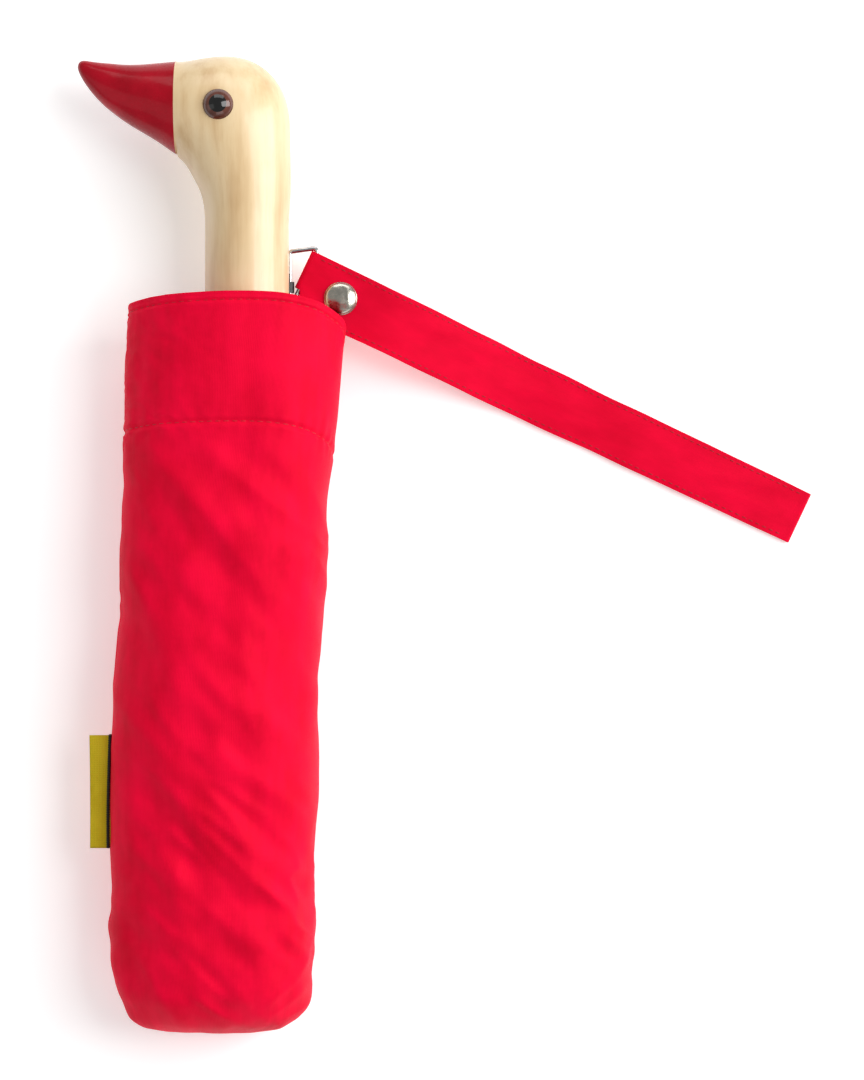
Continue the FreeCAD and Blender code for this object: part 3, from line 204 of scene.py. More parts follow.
# ---------------------------------------------------------------- sleeve
# Plan of the sleeve: level along the shaft, left edge, right edge and height above the table.
SLEEVE_PLAN = [
    (-127.0, -17.0, -2.0, 13.0),
    (-126.2, -27.0, 4.5, 20.0),
    (-123.6, -36.6, 12.8, 30.0),
    (-120.0, -40.6, 18.6, 37.5),
    (-113.5, -43.2, 20.9, 43.0),
    (-106.0, -45.4, 22.6, 46.0),
    (-92.0, -46.8, 23.6, 47.3),
    (-74.0, -46.7, 22.9, 47.4),
    (-45.0, -46.8, 24.2, 47.5),
    (-3.0, -45.3, 25.3, 47.5),
    (28.0, -43.6, 26.6, 47.5),
    (58.0, -42.5, 28.1, 47.4),
    (80.0, -41.4, 30.0, 46.8),
    (88.0, -41.0, 31.0, 47.2),
    (104.0, -41.5, 32.4, 47.6),
    (130.0, -40.0, 34.9, 47.4),
]
# Mouth of the sleeve: angle round the opening from its right-hand edge, and level of the rim.
RIM_LEVEL = [
    (-135.0, 116.5),
    (-90.0, 111.6),
    (-45.0, 111.2),
    (-20.0, 112.4),
    (0.0, 117.2),
    (28.0, 122.6),
    (58.0, 127.2),
    (88.0, 129.4),
    (125.0, 129.0),
    (158.0, 127.2),
    (180.0, 125.4),
    (202.0, 121.0),
    (225.0, 116.5),
    (270.0, 111.6),
    (315.0, 111.2),
]
RIM_MEAN = 122.0
HEM = 2.8
CUFF = 42.6
SLEEVE_LENGTH = RIM_MEAN - SLEEVE_END
SLEEVE_WALL = 0.7
SLEEVE_COLUMNS = 236
SEAM_PITCH = 2.9
SEAM_STITCH = 2.2


def rim_level(angle):
    """Level of the rim along the shaft at an angle round the mouth."""
    degrees = math.degrees(angle) % 360
    if degrees > 315:
        degrees -= 360
    return smooth_through(RIM_LEVEL, degrees)[0]


def signed_power(value, power):
    """Power of the size of a value, with its sign kept."""
    return math.copysign(abs(value) ** power, value)


def sleeve_section(level, angle):
    """Point of the smooth sleeve: its right side hugs the roll and its left side is slack."""
    left, right, top = smooth_through(SLEEVE_PLAN, level)
    crest = (left + right) / 2 + 0.10 * (right - left)
    cosine, sine = math.cos(angle), math.sin(angle)
    half = right - crest if cosine > 0 else crest - left
    fullness = 2 / 2.35 if cosine > 0 else 2 / 2.05
    across = crest + half * signed_power(cosine, fullness)
    drop = 1.4 if sine < 0 else 0.0
    height = top / 2 + (top / 2 + drop) * signed_power(sine, fullness)
    height = 0.35 + (height + math.sqrt(height * height + 0.6)) / 2
    return Vector((across, level, height))


def ripple(spot, along, across, turn, seed):
    """Noise stretched along one direction of the cloth, from -1 to 1."""
    run = spot.x * math.cos(turn) + spot.y * math.sin(turn)
    side = spot.y * math.cos(turn) - spot.x * math.sin(turn)
    return noise.noise(Vector((run / along, side / across, spot.z / (across * 2.2) + seed)))


def crease(value, sharpness):
    """Rounded valley with soft shoulders, made from noise about zero."""
    return 0.26 - math.sqrt(value * value + sharpness)


def sleeve_folds(spot, depth, angle):
    """How far the cloth stands off the smooth sleeve, in millimetres."""
    slack = grade(CUFF - 2, CUFF + 26, depth)
    tail = grade(150, 235, depth)
    left_side = grade(4.0, -30.0, spot.x)
    diagonal = crease(ripple(spot, 62, 15, -0.80, 3.7), 0.004)
    steep = crease(ripple(spot, 48, 21, -1.22, 9.1), 0.006)
    broad = ripple(spot, 70, 34, -0.60, 5.5)
    fine = ripple(spot, 16, 5.5, -0.95, 14.2)
    patch = grade(-0.10, 0.35, noise.noise(Vector((spot.x / 30, spot.y / 38, 6.6))))
    short = crease(ripple(spot, 26, 6.5, -0.72, 12.3), 0.003) * patch
    push = slack * (3.6 * diagonal + 2.6 * steep + 2.4 * broad + 2.6 * short + 0.55 * fine)
    push *= 1 - 0.5 * abs(math.cos(angle)) ** 6
    push *= 1 - 0.85 * bell(spot.y - (tag_low.y + tag_high.y) / 2, 26) * grade(-30, -42, spot.x)
    tail_crease = crease(ripple(spot, 15, 8, 0.7, 2.0), 0.01)
    push += tail * (1.8 * ripple(spot, 22, 10, -0.25, 21.0) + 1.3 * tail_crease)
    push += (1 - slack) * (0.75 * ripple(spot, 55, 9, 1.571, 7.7) + 1.1 * ripple(spot, 60, 26, 1.2, 1.4))
    push += left_side * (1 - slack) * 1.1 * crease(ripple(spot, 9, 3.2, -0.35, 8.8), 0.01)
    gathers = noise.noise(Vector((angle * 9, 0.3, depth / 9)))
    push += 0.45 * bell(depth - CUFF, 5.0) * gathers
    push -= 0.75 * bell(depth - CUFF, 0.9)
    push -= 0.34 * bell(depth - HEM, 0.45) + 0.16 * bell(depth - 1.3, 0.3)
    push += 0.32 * grade(HEM, HEM - 0.8, depth)
    push += 0.16 * bell(depth - HEM - 1.5, 0.7)
    pulled = noise.noise(Vector((angle * 16, 2.3, 0.0)))
    push += 0.18 * bell(depth - HEM, 3.0) * pulled
    return push


def sleeve_point(depth, angle):
    """Point of the sleeve's outer face and the direction outward, at a depth below the rim."""
    level_end = SLEEVE_END
    reach = rim_level(angle) - level_end
    level = level_end + reach * (1 - depth / SLEEVE_LENGTH)
    near = 0.012
    before = sleeve_section(level, angle - near)
    after = sleeve_section(level, angle + near)
    tangent = after - before
    out = Vector((tangent.z, 0, -tangent.x)).normalized()
    tip = grade(12.0, 0.0, SLEEVE_LENGTH - depth)
    out = (out + Vector((0, -1.2 * tip, 0))).normalized()
    smooth = sleeve_section(level, angle)
    held = grade(1.5, 12.0, smooth.z)
    push = sleeve_folds(smooth, depth, angle) * held * (1 - 0.6 * tip)
    seam = bell(math.remainder(angle - math.pi * 1.015, TURN) * 26, 1.0)
    push += 0.6 * seam * grade(0, HEM, depth) * grade(SLEEVE_LENGTH - 2, SLEEVE_LENGTH - 30, depth)
    spot = smooth + out * push
    spot.z = max(spot.z, 0.3)
    return spot, out


def make_sleeve():
    """Cloth tube, open at the mouth and closed at the end."""
    columns = SLEEVE_COLUMNS
    depths = steps((4.4, 0.36), (CUFF - 3, 1.3), (CUFF + 3, 0.5), (SLEEVE_LENGTH - 16, 1.35),
                   (SLEEVE_LENGTH - 0.01, 0.7))
    points = []
    places = []
    for depth in depths:
        for column in range(columns):
            angle = TURN * column / columns
            points.append(sleeve_point(depth, angle)[0])
            places.append((column / columns * 0.19, depth * MM))
    faces = grid_faces(len(depths), columns, True)
    last = (len(depths) - 1) * columns
    middle = sum(points[last:], Vector()) / columns
    points.append(middle)
    places.append((0.0, SLEEVE_LENGTH * MM))
    faces += [(last + column, last + (column + 1) % columns, len(points) - 1) for column in range(columns)]
    sleeve = new_piece("sleeve_cloth", points, faces, places)
    thicken(sleeve, SLEEVE_WALL)
    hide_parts("sleeve")
    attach(sleeve, "sleeve")
    return sleeve


def sleeve_seam(name, depth, first, last, thread):
    """Stitches round the sleeve at one depth, between two angles in degrees."""
    count = 420
    angles = [math.radians(first + (last - first) * index / count) for index in range(count + 1)]
    path = [sleeve_point(depth, angle) for angle in angles]
    seam = stitches(name, path, SEAM_PITCH, SEAM_STITCH, thread)
    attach(seam, "sleeve")
    return seam


# ---------------------------------------------------------------- tag in the side seam
TAG_CLOTH = 0.28


def make_tag():
    """Folded ribbon whose two layers meet in the seam, with a dark line of black stitches along its root
    against the sleeve.
    """
    fold = tag_low.x
    level_low, level_high = tag_low.y, tag_high.y
    middle = (tag_low.z + tag_high.z) / 2
    rows = 40
    around = 13
    points = []
    places = []
    for row in range(rows + 1):
        share = row / rows
        level = level_low + (level_high - level_low) * share
        left = smooth_through(SLEEVE_PLAN, level)[0]
        curl = 0.5 * math.sin(3.0 * share + 0.4) * (1 - 0.5 * share)
        edge = fold + 0.35 * math.sin(2.2 * share + 0.9) + 0.25
        for step in range(around):
            turn = math.pi * (step / (around - 1) - 0.5)
            run = grade(0.0, 1.0, math.cos(turn))
            across = left + 0.9 + (edge - left - 0.9) * run ** 0.7
            gap = 0.42 * math.sin(turn) * (0.55 + 0.45 * (1 - run))
            points.append((across, level, middle + gap + curl * run))
            places.append((step / around * 0.018, share * 0.039))
    tag = new_piece("woven_tag", points, grid_faces(rows + 1, around, False), places)
    thicken(tag, TAG_CLOTH, 0.0)
    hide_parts("sleeve_tag")
    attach(tag, "sleeve")
    # A dark line of black stitches runs along the tag's root, in the gap between the tag and the sleeve.
    path = []
    for row in range(rows + 1):
        level = level_low + (level_high - level_low) * row / rows
        left = smooth_through(SLEEVE_PLAN, level)[0]
        path.append((Vector((left - 1.1, level, middle + 0.25)), Vector((0, 0, 1))))
    seam = stitches("tag_root_dark_line", path, 0.80, 1.15, 0.72)
    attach(seam, "sleeve")
    return tag, seam


# ---------------------------------------------------------------- rolled canopy and its tie
CANOPY_FOLDS = 8
CANOPY_LAYERS = 1.6
CANOPY_COLUMNS = 168
TIE_CLOTH = 0.5
TIE_WIDTH = 18


def make_canopy():
    """Eight overlapping cloth folds rolled round the ribs, drawn in at the crown."""
    columns = CANOPY_COLUMNS
    radius = (canopy_high.x - canopy_low.x) / 2 - 0.5
    length = canopy_high.y - canopy_low.y
    levels = steps((2.0, 0.7), (16.0, 1.4), (length - 3, 3.0), (length, 0.6))
    points = []
    places = []
    tie_level = (tie_low.y + tie_high.y) / 2
    for station in levels:
        level = canopy_low.y + station
        girth = radius - 2.2 * (1 - grade(9, 60, station)) - 1.2 * bell(station - length, 1.2)
        girth -= 7.0 * (1 - grade(0, 9, station))
        held = bell(level - tie_level, 16)
        for column in range(columns):
            angle = TURN * column / columns
            drift = noise.noise(Vector((station / 30, angle, 0)))
            lap = (CANOPY_FOLDS * angle / TURN + 0.012 * station + 0.15 * drift) % 1
            step = grade(0.86, 1.0, lap) - lap
            push = (1.15 - 0.5 * held) * step + 0.35 * noise.noise(Vector((angle * 4, station / 12, 3)))
            reach = girth + push - 0.45 * held
            points.append((reach * math.cos(angle), level, AXIS_HEIGHT + reach * math.sin(angle)))
            places.append((angle * radius * MM, station * MM))
    canopy = new_piece("rolled_canopy", points, grid_faces(len(levels), columns, True), places)
    canopy.data.flip_normals()
    thicken(canopy, CANOPY_LAYERS)
    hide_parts("canopy")
    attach(canopy, "umbrella")

    points = []
    places = []
    stations = [0.0, 0.3, 0.9, 3, 6, 9, 12, 15, 17.1, 17.7, 18.0]
    for station in stations:
        level = tie_low.y + station * (tie_high.y - tie_low.y) / TIE_WIDTH
        edge = min(station, TIE_WIDTH - station)
        for column in range(columns):
            angle = TURN * column / columns
            lapped = 0.35 * grade(1.02, 1.10, angle) * grade(2.6, 2.45, angle)
            reach = radius - 0.15 + 0.25 * grade(0, 0.8, edge) + lapped - 0.12 * bell(edge - 1.6, 0.5)
            points.append((reach * math.cos(angle), level, AXIS_HEIGHT + reach * math.sin(angle)))
            places.append((angle * radius * MM, station * MM))
    tie = new_piece("tie_band", points, grid_faces(len(stations), columns, True), places)
    tie.data.flip_normals()
    thicken(tie, TIE_CLOTH)
    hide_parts("canopy_tie")
    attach(tie, "umbrella")
    return canopy, tie


# ---------------------------------------------------------------- wrist strap, tab and snap
swing = joint_of("strap_swing")
LEG = Vector(swing["pos_m"]) / MM
ACROSS = -Vector(swing["axis"]).normalized()
ALONG = ACROSS.cross(Vector((0, 0, 1)))
STRAP_LENGTH = 193.0
NEAR_HALF = 10.9
FAR_HALF = 9.4
WEB = 0.9
UPPER_LAYER = 1.4
UNDER_LAYER = 0.2
WRAP_EDGE = -3.1
RAMP_START = 26.0
RAMP_END = 93.0
SNAP_SETBACK = 14.4
CORNER_SLANT = ACROSS.x / ACROSS.y
STRAP_PITCH = 2.6
STRAP_STITCH = 1.95
STRAP_THREAD_RADIUS = 0.17
TAB_LENGTH = 20.6
TAB_CLOTH = 0.8


def strap_half(station):
    """Half width of the strap: it tapers, and its edges are a little uneven."""
    uneven = 0.35 * grade(8, 30, station) * noise.noise(Vector((station / 21, 3.0, 0.0)))
    return NEAR_HALF + (FAR_HALF - NEAR_HALF) * max(station, 0) / STRAP_LENGTH + uneven


def strap_start(offset):
    """Where a lengthwise line of the strap begins: the inner corner is cut off on a slant."""
    return 0.0 if offset >= WRAP_EDGE - 0.1 else 0.1 + (WRAP_EDGE - offset) * CORNER_SLANT


def strap_drop(station):
    """How far the strap has come down from the ring towards the table."""
    fall = LEG.z + UNDER_LAYER - WEB / 2 - 0.05
    return fall * grade(RAMP_START, RAMP_END, station)


def strap_place(station, offset, height):
    """Point of the strap, from its distance along, its distance across and its height."""
    return LEG + ALONG * station + ACROSS * offset + Vector((0, 0, height))


def strap_wave(station, offset):
    """Soft creases of the upper layer: it only rises off the layer below."""
    free = grade(20, 40, station) * grade(STRAP_LENGTH, STRAP_LENGTH - 14, station)
    run = station * 0.86 + offset * 0.5
    side = offset * 0.86 - station * 0.5
    wave = noise.noise(Vector((run / 34, side / 11, 4.2)))
    wave += 0.5 * noise.noise(Vector((run / 13, side / 6, 8.0)))
    edge = abs(offset) / strap_half(station)
    sharp = crease(noise.noise(Vector((run / 22, side / 7, 1.1))), 0.003)
    return free * (0.60 + 0.95 * wave + 0.55 * sharp) * (1 - 0.6 * edge ** 3)


def make_strap():
    """Flattened loop: upper layer, far fold, under layer, and the wrap round the ring."""
    columns = 29
    wrap_first = 10
    upper = steps((4.0, 1.0), (STRAP_LENGTH - 3, 2.0), (STRAP_LENGTH - 1.05, 0.6))
    points = []
    places = []
    offsets = [2 * column / (columns - 1) - 1 for column in range(columns)]
    path = [(station, UPPER_LAYER, 1.0) for station in upper]
    middle = (UPPER_LAYER + UNDER_LAYER) / 2
    bend = (UPPER_LAYER - UNDER_LAYER) / 2
    for index in range(1, 6):
        turn = math.pi * index / 6
        path.append((STRAP_LENGTH - 1.05 + bend * math.sin(turn), middle + bend * math.cos(turn), 0.0))
    path += [(station, UNDER_LAYER, 0.0) for station in reversed(upper) if station > RAMP_START - 2]
    travelled = 0.0
    for row, (station, height, wavy) in enumerate(path):
        travelled += 2.0 if row else 0.0
        for share in offsets:
            offset = share * strap_half(station)
            start = strap_start(share * NEAR_HALF)
            along = start + station * (1 - start / STRAP_LENGTH)
            lift = height - strap_drop(along) + wavy * max(strap_wave(along, offset), 0.0)
            points.append(strap_place(along, offset, lift))
            places.append((offset * MM, travelled * MM))
    faces = grid_faces(len(path), columns, False)
    previous = list(range(wrap_first, columns))
    for index in range(1, 11):
        turn = math.pi * index / 10
        row = []
        for share in offsets[wrap_first:]:
            row.append(len(points))
            points.append(strap_place(-UPPER_LAYER * math.sin(turn), share * NEAR_HALF,
                                      UPPER_LAYER * math.cos(turn)))
            places.append((share * NEAR_HALF * MM, -index * 0.5 * MM))
        for spot in range(len(row) - 1):
            faces.append((row[spot], row[spot + 1], previous[spot + 1], previous[spot]))
        previous = row
    strap = new_piece("wrist_strap_cloth", points, faces, places)
    thicken(strap, WEB, 0.0)
    soften(strap, 0.28)
    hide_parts("wrist_strap")
    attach(strap, "strap")
    return strap


def soften(piece, width):
    """Rounds the cut edges of a thick sheet."""
    bevel = piece.modifiers.new("edge", "BEVEL")
    bevel.width = width * MM
    bevel.segments = 3
    bevel.limit_method = "ANGLE"


def strap_seam(name, side, inset):
    """Row of stitches along one edge of the strap's upper layer."""
    path = []
    first = 2.0 if side > 0 else 6.5
    for index in range(240):
        station = first + (STRAP_LENGTH - 3.0 - first) * index / 239
        offset = side * (strap_half(station) - inset)
        lift = UPPER_LAYER + WEB / 2 - strap_drop(station) + max(strap_wave(station, offset), 0.0)
        path.append((strap_place(station, offset, lift), Vector((0, 0, 1))))
    seam = stitches(name, path, STRAP_PITCH, STRAP_STITCH, STRAP_THREAD_RADIUS)
    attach(seam, "strap")
    return seam


def make_tab():
    """Tab that closes under the strap's near end, below the ring."""
    columns = 25
    stations = steps((TAB_LENGTH, 1.0))
    length = stations[-1]
    points = []
    places = []
    for station in stations:
        for column in range(columns):
            share = 2 * column / (columns - 1) - 1
            offset = share * NEAR_HALF
            start = strap_start(offset) + 0.15
            corner = 2.2 * max(abs(share) - 0.75, 0) ** 2 / 0.0625
            along = start + station * (length - corner - start) / length
            points.append(strap_place(along, offset * 0.985, -UPPER_LAYER))
            places.append((offset * MM, station * MM))
    tab = new_piece("strap_tab_cloth", points, grid_faces(len(stations), columns, False), places)
    thicken(tab, TAB_CLOTH, 0.0)
    soften(tab, 0.25)
    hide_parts("strap_tab")
    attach(tab, "strap_tab")
    return tab


def make_snap_cap():
    """Pressed dome with a rolled rim, slightly dented by use."""
    radius = (cap_high.x - cap_low.x) / 2
    seat = LEG.z + UPPER_LAYER + WEB / 2
    rise = cap_high.z - seat
    outline = [(1.25, cap_low.z - seat), (1.25, 0.0), (radius - 0.5, 0.0), (radius - 0.12, 0.05),
               (radius, 0.22), (radius - 0.03, 0.42), (radius - 0.22, 0.60), (radius - 0.42, 0.70)]
    dome = 14
    for index in range(1, dome + 1):
        turn = math.pi / 2 * index / dome
        outline.append(((radius - 0.42) * math.cos(turn) ** 0.92, 0.70 + (rise - 0.70) * math.sin(turn)))
    centre = strap_place(SNAP_SETBACK, 0.0, seat - LEG.z)
    cap = lathe("snap_dome", outline, centre, (0, 0, 1), 96)
    for vertex in cap.data.vertices:
        spot = (vertex.co / MM - centre) / radius
        if spot.z > 0.13:
            dent = 0.10 * noise.noise(Vector((spot.x * 2.3, spot.y * 2.3, 1.5)))
            vertex.co.z += (dent - 0.22 * bell(spot.x - 0.18, 0.35) * bell(spot.y + 0.55, 0.20)) * MM
    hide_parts("snap_cap")
    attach(cap, "strap")
    return cap


# ---------------------------------------------------------------- finishes shared as node groups
def new_group(name, inputs, outputs):
    """Empty shader node group with float or vector inputs and outputs."""
    group = bpy.data.node_groups.new(name, "ShaderNodeTree")
    for label, kind, value in inputs:
        socket = group.interface.new_socket(label, in_out="INPUT", socket_type=kind)
        if value is not None:
            socket.default_value = value
    for label, kind in outputs:
        group.interface.new_socket(label, in_out="OUTPUT", socket_type=kind)
    return group, group.nodes.new("NodeGroupInput"), group.nodes.new("NodeGroupOutput")


def math_node(tree, operation, first, second=None):
    node = tree.nodes.new("ShaderNodeMath")
    node.operation = operation
    for socket, value in zip(node.inputs, (first, second)):
        if value is None:
            continue
        if isinstance(value, (int, float)):
            socket.default_value = value
        else:
            tree.links.new(value, socket)
    return node.outputs[0]


def noise_node(tree, vector, scale, detail=3.0, rough=0.55):
    node = tree.nodes.new("ShaderNodeTexNoise")
    node.inputs["Detail"].default_value = detail
    node.inputs["Roughness"].default_value = rough
    if isinstance(scale, (int, float)):
        node.inputs["Scale"].default_value = scale
    else:
        tree.links.new(scale, node.inputs["Scale"])
    tree.links.new(vector, node.inputs["Vector"])
    return node.outputs["Fac"]


def stretched(tree, vector, stretch):
    node = tree.nodes.new("ShaderNodeVectorMath")
    node.operation = "MULTIPLY"
    node.inputs[1].default_value = stretch
    tree.links.new(vector, node.inputs[0])
    return node.outputs[0]


def make_weave_group():
    """Plain weave: height of the threads, uneven like spun yarn."""
    group, source, result = new_group(
        "plain_weave",
        [("Cloth", "NodeSocketVector", None), ("Threads", "NodeSocketFloat", 2000.0)],
        [("Height", "NodeSocketFloat"), ("Slub", "NodeSocketFloat")])
    cloth = source.outputs["Cloth"]
    split = group.nodes.new("ShaderNodeSeparateXYZ")
    group.links.new(cloth, split.inputs[0])
    crossing = []
    for axis in ("X", "Y"):
        phase = math_node(group, "MULTIPLY", split.outputs[axis], source.outputs["Threads"])
        crossing.append(math_node(group, "SINE", math_node(group, "MULTIPLY", phase, math.pi)))
    over = math_node(group, "MULTIPLY", crossing[0], crossing[1])
    rounded = math_node(group, "ABSOLUTE", over)
    yarn = noise_node(group, stretched(group, cloth, (1.0, 0.08, 1.0)), 900.0, 2.0)
    height = math_node(group, "MULTIPLY", rounded, math_node(group, "ADD", yarn, 0.5))
    group.links.new(height, result.inputs["Height"])
    slub = noise_node(group, stretched(group, cloth, (1.0, 0.25, 1.0)), 160.0, 4.0)
    group.links.new(slub, result.inputs["Slub"])
    return group


def make_grain_group():
    """Close straight wood grain along the shaft, with short ray flecks."""
    group, source, result = new_group(
        "wood_grain", [("Place", "NodeSocketVector", None)],
        [("Rings", "NodeSocketFloat"), ("Flecks", "NodeSocketFloat"), ("Pores", "NodeSocketFloat")])
    place = source.outputs["Place"]
    streaks = noise_node(group, stretched(group, place, (1.0, 0.06, 1.0)), 260.0, 4.0, 0.6)
    figure = noise_node(group, stretched(group, place, (1.0, 0.45, 1.0)), 75.0, 3.0, 0.5)
    rings = math_node(group, "MULTIPLY", math_node(group, "ADD", streaks, figure), 0.5)
    group.links.new(rings, result.inputs["Rings"])
    flecks = noise_node(group, stretched(group, place, (1.0, 0.12, 1.0)), 1500.0, 1.0)
    sharp = math_node(group, "MULTIPLY", math_node(group, "SUBTRACT", flecks, 0.60), 6.0)
    group.links.new(math_node(group, "MINIMUM", math_node(group, "MAXIMUM", sharp, 0.0), 1.0),
                    result.inputs["Flecks"])
    group.links.new(noise_node(group, stretched(group, place, (1.0, 0.05, 1.0)), 2600.0, 2.0),
                    result.inputs["Pores"])
    return group


def make_handling_group():
    """Handling marks: fine scratches and soft smudges on a hard surface."""
    group, source, result = new_group(
        "handling", [("Place", "NodeSocketVector", None), ("Scale", "NodeSocketFloat", 300.0)],
        [("Smudge", "NodeSocketFloat"), ("Scratch", "NodeSocketFloat")])
    place = source.outputs["Place"]
    group.links.new(noise_node(group, place, source.outputs["Scale"], 3.0), result.inputs["Smudge"])
    fine = noise_node(group, stretched(group, place, (1.0, 9.0, 1.0)), 900.0, 2.0, 0.7)
    group.links.new(fine, result.inputs["Scratch"])
    return group


WEAVE = make_weave_group()
GRAIN = make_grain_group()
HANDLING = make_handling_group()


def new_material(name):
    """Material with its shader, and the tree to build the finish in."""
    finish = bpy.data.materials.new(name)
    finish.use_nodes = True
    tree = finish.node_tree
    return finish, tree, tree.nodes["Principled BSDF"]


def placed(tree, group, **values):
    node = tree.nodes.new("ShaderNodeGroup")
    node.node_tree = group
    for label, value in values.items():
        if isinstance(value, (int, float)):
            node.inputs[label].default_value = value
        else:
            tree.links.new(value, node.inputs[label])
    return node


def ramp(tree, factor, *stops):
    node = tree.nodes.new("ShaderNodeValToRGB")
    elements = node.color_ramp.elements
    while len(elements) < len(stops):
        elements.new(0.5)
    for element, (position, colour) in zip(elements, stops):
        element.position = position
        element.color = (*colour, 1.0)
    tree.links.new(factor, node.inputs[0])
    return node.outputs[0]


def grey_ramp(tree, factor, *stops):
    return ramp(tree, factor, *[(position, (level, level, level)) for position, level in stops])


def bump(tree, shader, height, strength, distance):
    node = tree.nodes.new("ShaderNodeBump")
    node.inputs["Strength"].default_value = strength
    node.inputs["Distance"].default_value = distance * MM
    tree.links.new(height, node.inputs["Height"])
    tree.links.new(node.outputs[0], shader.inputs["Normal"])


def object_place(tree):
    return tree.nodes.new("ShaderNodeTexCoord").outputs["Object"]


def cloth_finish(name, deep, bright, threads, rough, sheen, weave):
    """Woven cloth: colour varies with the yarn, the grooves between threads are painted slightly darker as
    painted shade, and the weave stands as a fine relief.
    """
    finish, tree, shader = new_material(name)
    cloth = tree.nodes.new("ShaderNodeUVMap")
    cloth.uv_map = "cloth"
    yarn = placed(tree, WEAVE, Cloth=cloth.outputs[0], Threads=threads)
    cloud = noise_node(tree, object_place(tree), 42.0, 4.0, 0.6)
    mixed = math_node(tree, "ADD", math_node(tree, "MULTIPLY", yarn.outputs["Slub"], 0.45),
                      math_node(tree, "MULTIPLY", cloud, 0.55))
    # Painted shade: the weave's height lifts the colour on the raised threads, so the grooves between
    # threads come out darker; the slub and cloud tones are the yarn's own.
    yarn_tone_and_groove_shade = math_node(tree, "ADD", mixed, math_node(tree, "MULTIPLY", yarn.outputs["Height"], 0.10))
    tree.links.new(ramp(tree, yarn_tone_and_groove_shade, (0.32, deep), (0.68, bright)), shader.inputs["Base Color"])
    tree.links.new(grey_ramp(tree, yarn.outputs["Height"], (0.0, rough + 0.12), (1.0, rough - 0.06)),
                   shader.inputs["Roughness"])
    shader.inputs["Specular IOR Level"].default_value = 0.05
    shader.inputs["Sheen Weight"].default_value = sheen
    shader.inputs["Sheen Roughness"].default_value = 0.45
    shader.inputs["Sheen Tint"].default_value = (1.0, 0.45, 0.50, 1.0)
    bump(tree, shader, yarn.outputs["Height"], weave, 0.10)
    return finish


def thread_finish(name, colour):
    """Twisted sewing thread."""
    finish, tree, shader = new_material(name)
    place = object_place(tree)
    twist = noise_node(tree, place, 2600.0, 2.0)
    dark = tuple(channel * 0.72 for channel in colour)
    tree.links.new(ramp(tree, twist, (0.35, dark), (0.65, colour)), shader.inputs["Base Color"])
    tree.links.new(grey_ramp(tree, twist, (0.3, 0.45), (0.7, 0.62)), shader.inputs["Roughness"])
    bump(tree, shader, twist, 0.5, 0.08)
    return finish


def wood_finish():
    finish, tree, shader = new_material("pale_wood")
    place = object_place(tree)
    grain = placed(tree, GRAIN, Place=place)
    body = ramp(tree, grain.outputs["Rings"], (0.32, (0.64, 0.420, 0.205)), (0.50, (0.78, 0.580, 0.325)),
                (0.68, (0.84, 0.660, 0.405)))
    mix = tree.nodes.new("ShaderNodeMix")
    mix.data_type = "RGBA"
    flecks = math_node(tree, "MULTIPLY", grain.outputs["Flecks"], 0.22)
    tree.links.new(flecks, mix.inputs["Factor"])
    tree.links.new(body, mix.inputs["A"])
    mix.inputs["B"].default_value = (0.72, 0.46, 0.22, 1.0)
    tree.links.new(mix.outputs["Result"], shader.inputs["Base Color"])
    smudge = noise_node(tree, place, 90.0, 3.0)
    tree.links.new(grey_ramp(tree, smudge, (0.3, 0.34), (0.7, 0.48)), shader.inputs["Roughness"])
    shader.inputs["Specular IOR Level"].default_value = 0.5
    shader.inputs["Coat Weight"].default_value = 0.55
    shader.inputs["Coat Roughness"].default_value = 0.16
    bump(tree, shader, grain.outputs["Pores"], 0.12, 0.05)
    return finish


def lacquer_finish():
    """Gloss paint over carved wood: depth of colour varies, and the film is slightly wavy."""
    finish, tree, shader = new_material("red_lacquer")
    place = object_place(tree)
    depth = noise_node(tree, place, 70.0, 4.0)
    tree.links.new(ramp(tree, depth, (0.30, (0.300, 0.0005, 0.0080)), (0.70, (0.450, 0.0008, 0.0140))),
                   shader.inputs["Base Color"])
    marks = placed(tree, HANDLING, Place=place, Scale=220.0)
    tree.links.new(grey_ramp(tree, marks.outputs["Smudge"], (0.35, 0.22), (0.75, 0.36)),
                   shader.inputs["Roughness"])
    shader.inputs["Specular IOR Level"].default_value = 0.10
    shader.inputs["Coat Weight"].default_value = 0.22
    shader.inputs["Coat Roughness"].default_value = 0.12
    film = noise_node(tree, place, 160.0, 2.0)
    bump(tree, shader, film, 0.10, 0.35)
    return finish


def metal_finish(name, colour, rough_low, rough_high, scale=300.0, dents=0.08):
    """Plated or drawn metal with smudges and fine scratches."""
    finish, tree, shader = new_material(name)
    marks = placed(tree, HANDLING, Place=object_place(tree), Scale=scale)
    dull = tuple(channel * 0.80 for channel in colour)
    tree.links.new(ramp(tree, marks.outputs["Smudge"], (0.35, dull), (0.65, colour)),
                   shader.inputs["Base Color"])
    tree.links.new(grey_ramp(tree, marks.outputs["Smudge"], (0.3, rough_low), (0.75, rough_high)),
                   shader.inputs["Roughness"])
    shader.inputs["Metallic"].default_value = 1.0
    bump(tree, shader, marks.outputs["Scratch"], dents, 0.05)
    return finish


def plastic_finish(name, colour, rough_low, rough_high, scale=1400.0, grain=0.35, coat=0.0):
    """Moulded, painted or polished hard piece with a fine texture."""
    finish, tree, shader = new_material(name)
    place = object_place(tree)
    marks = placed(tree, HANDLING, Place=place, Scale=scale)
    lift = tuple(min(channel * 1.7 + 0.004, 1.0) for channel in colour)
    tree.links.new(ramp(tree, marks.outputs["Smudge"], (0.35, colour), (0.75, lift)),
                   shader.inputs["Base Color"])
    tree.links.new(grey_ramp(tree, marks.outputs["Scratch"], (0.3, rough_low), (0.7, rough_high)),
                   shader.inputs["Roughness"])
    shader.inputs["Coat Weight"].default_value = coat
    shader.inputs["Coat Roughness"].default_value = 0.06
    bump(tree, shader, marks.outputs["Smudge"], grain, 0.06)
    return finish


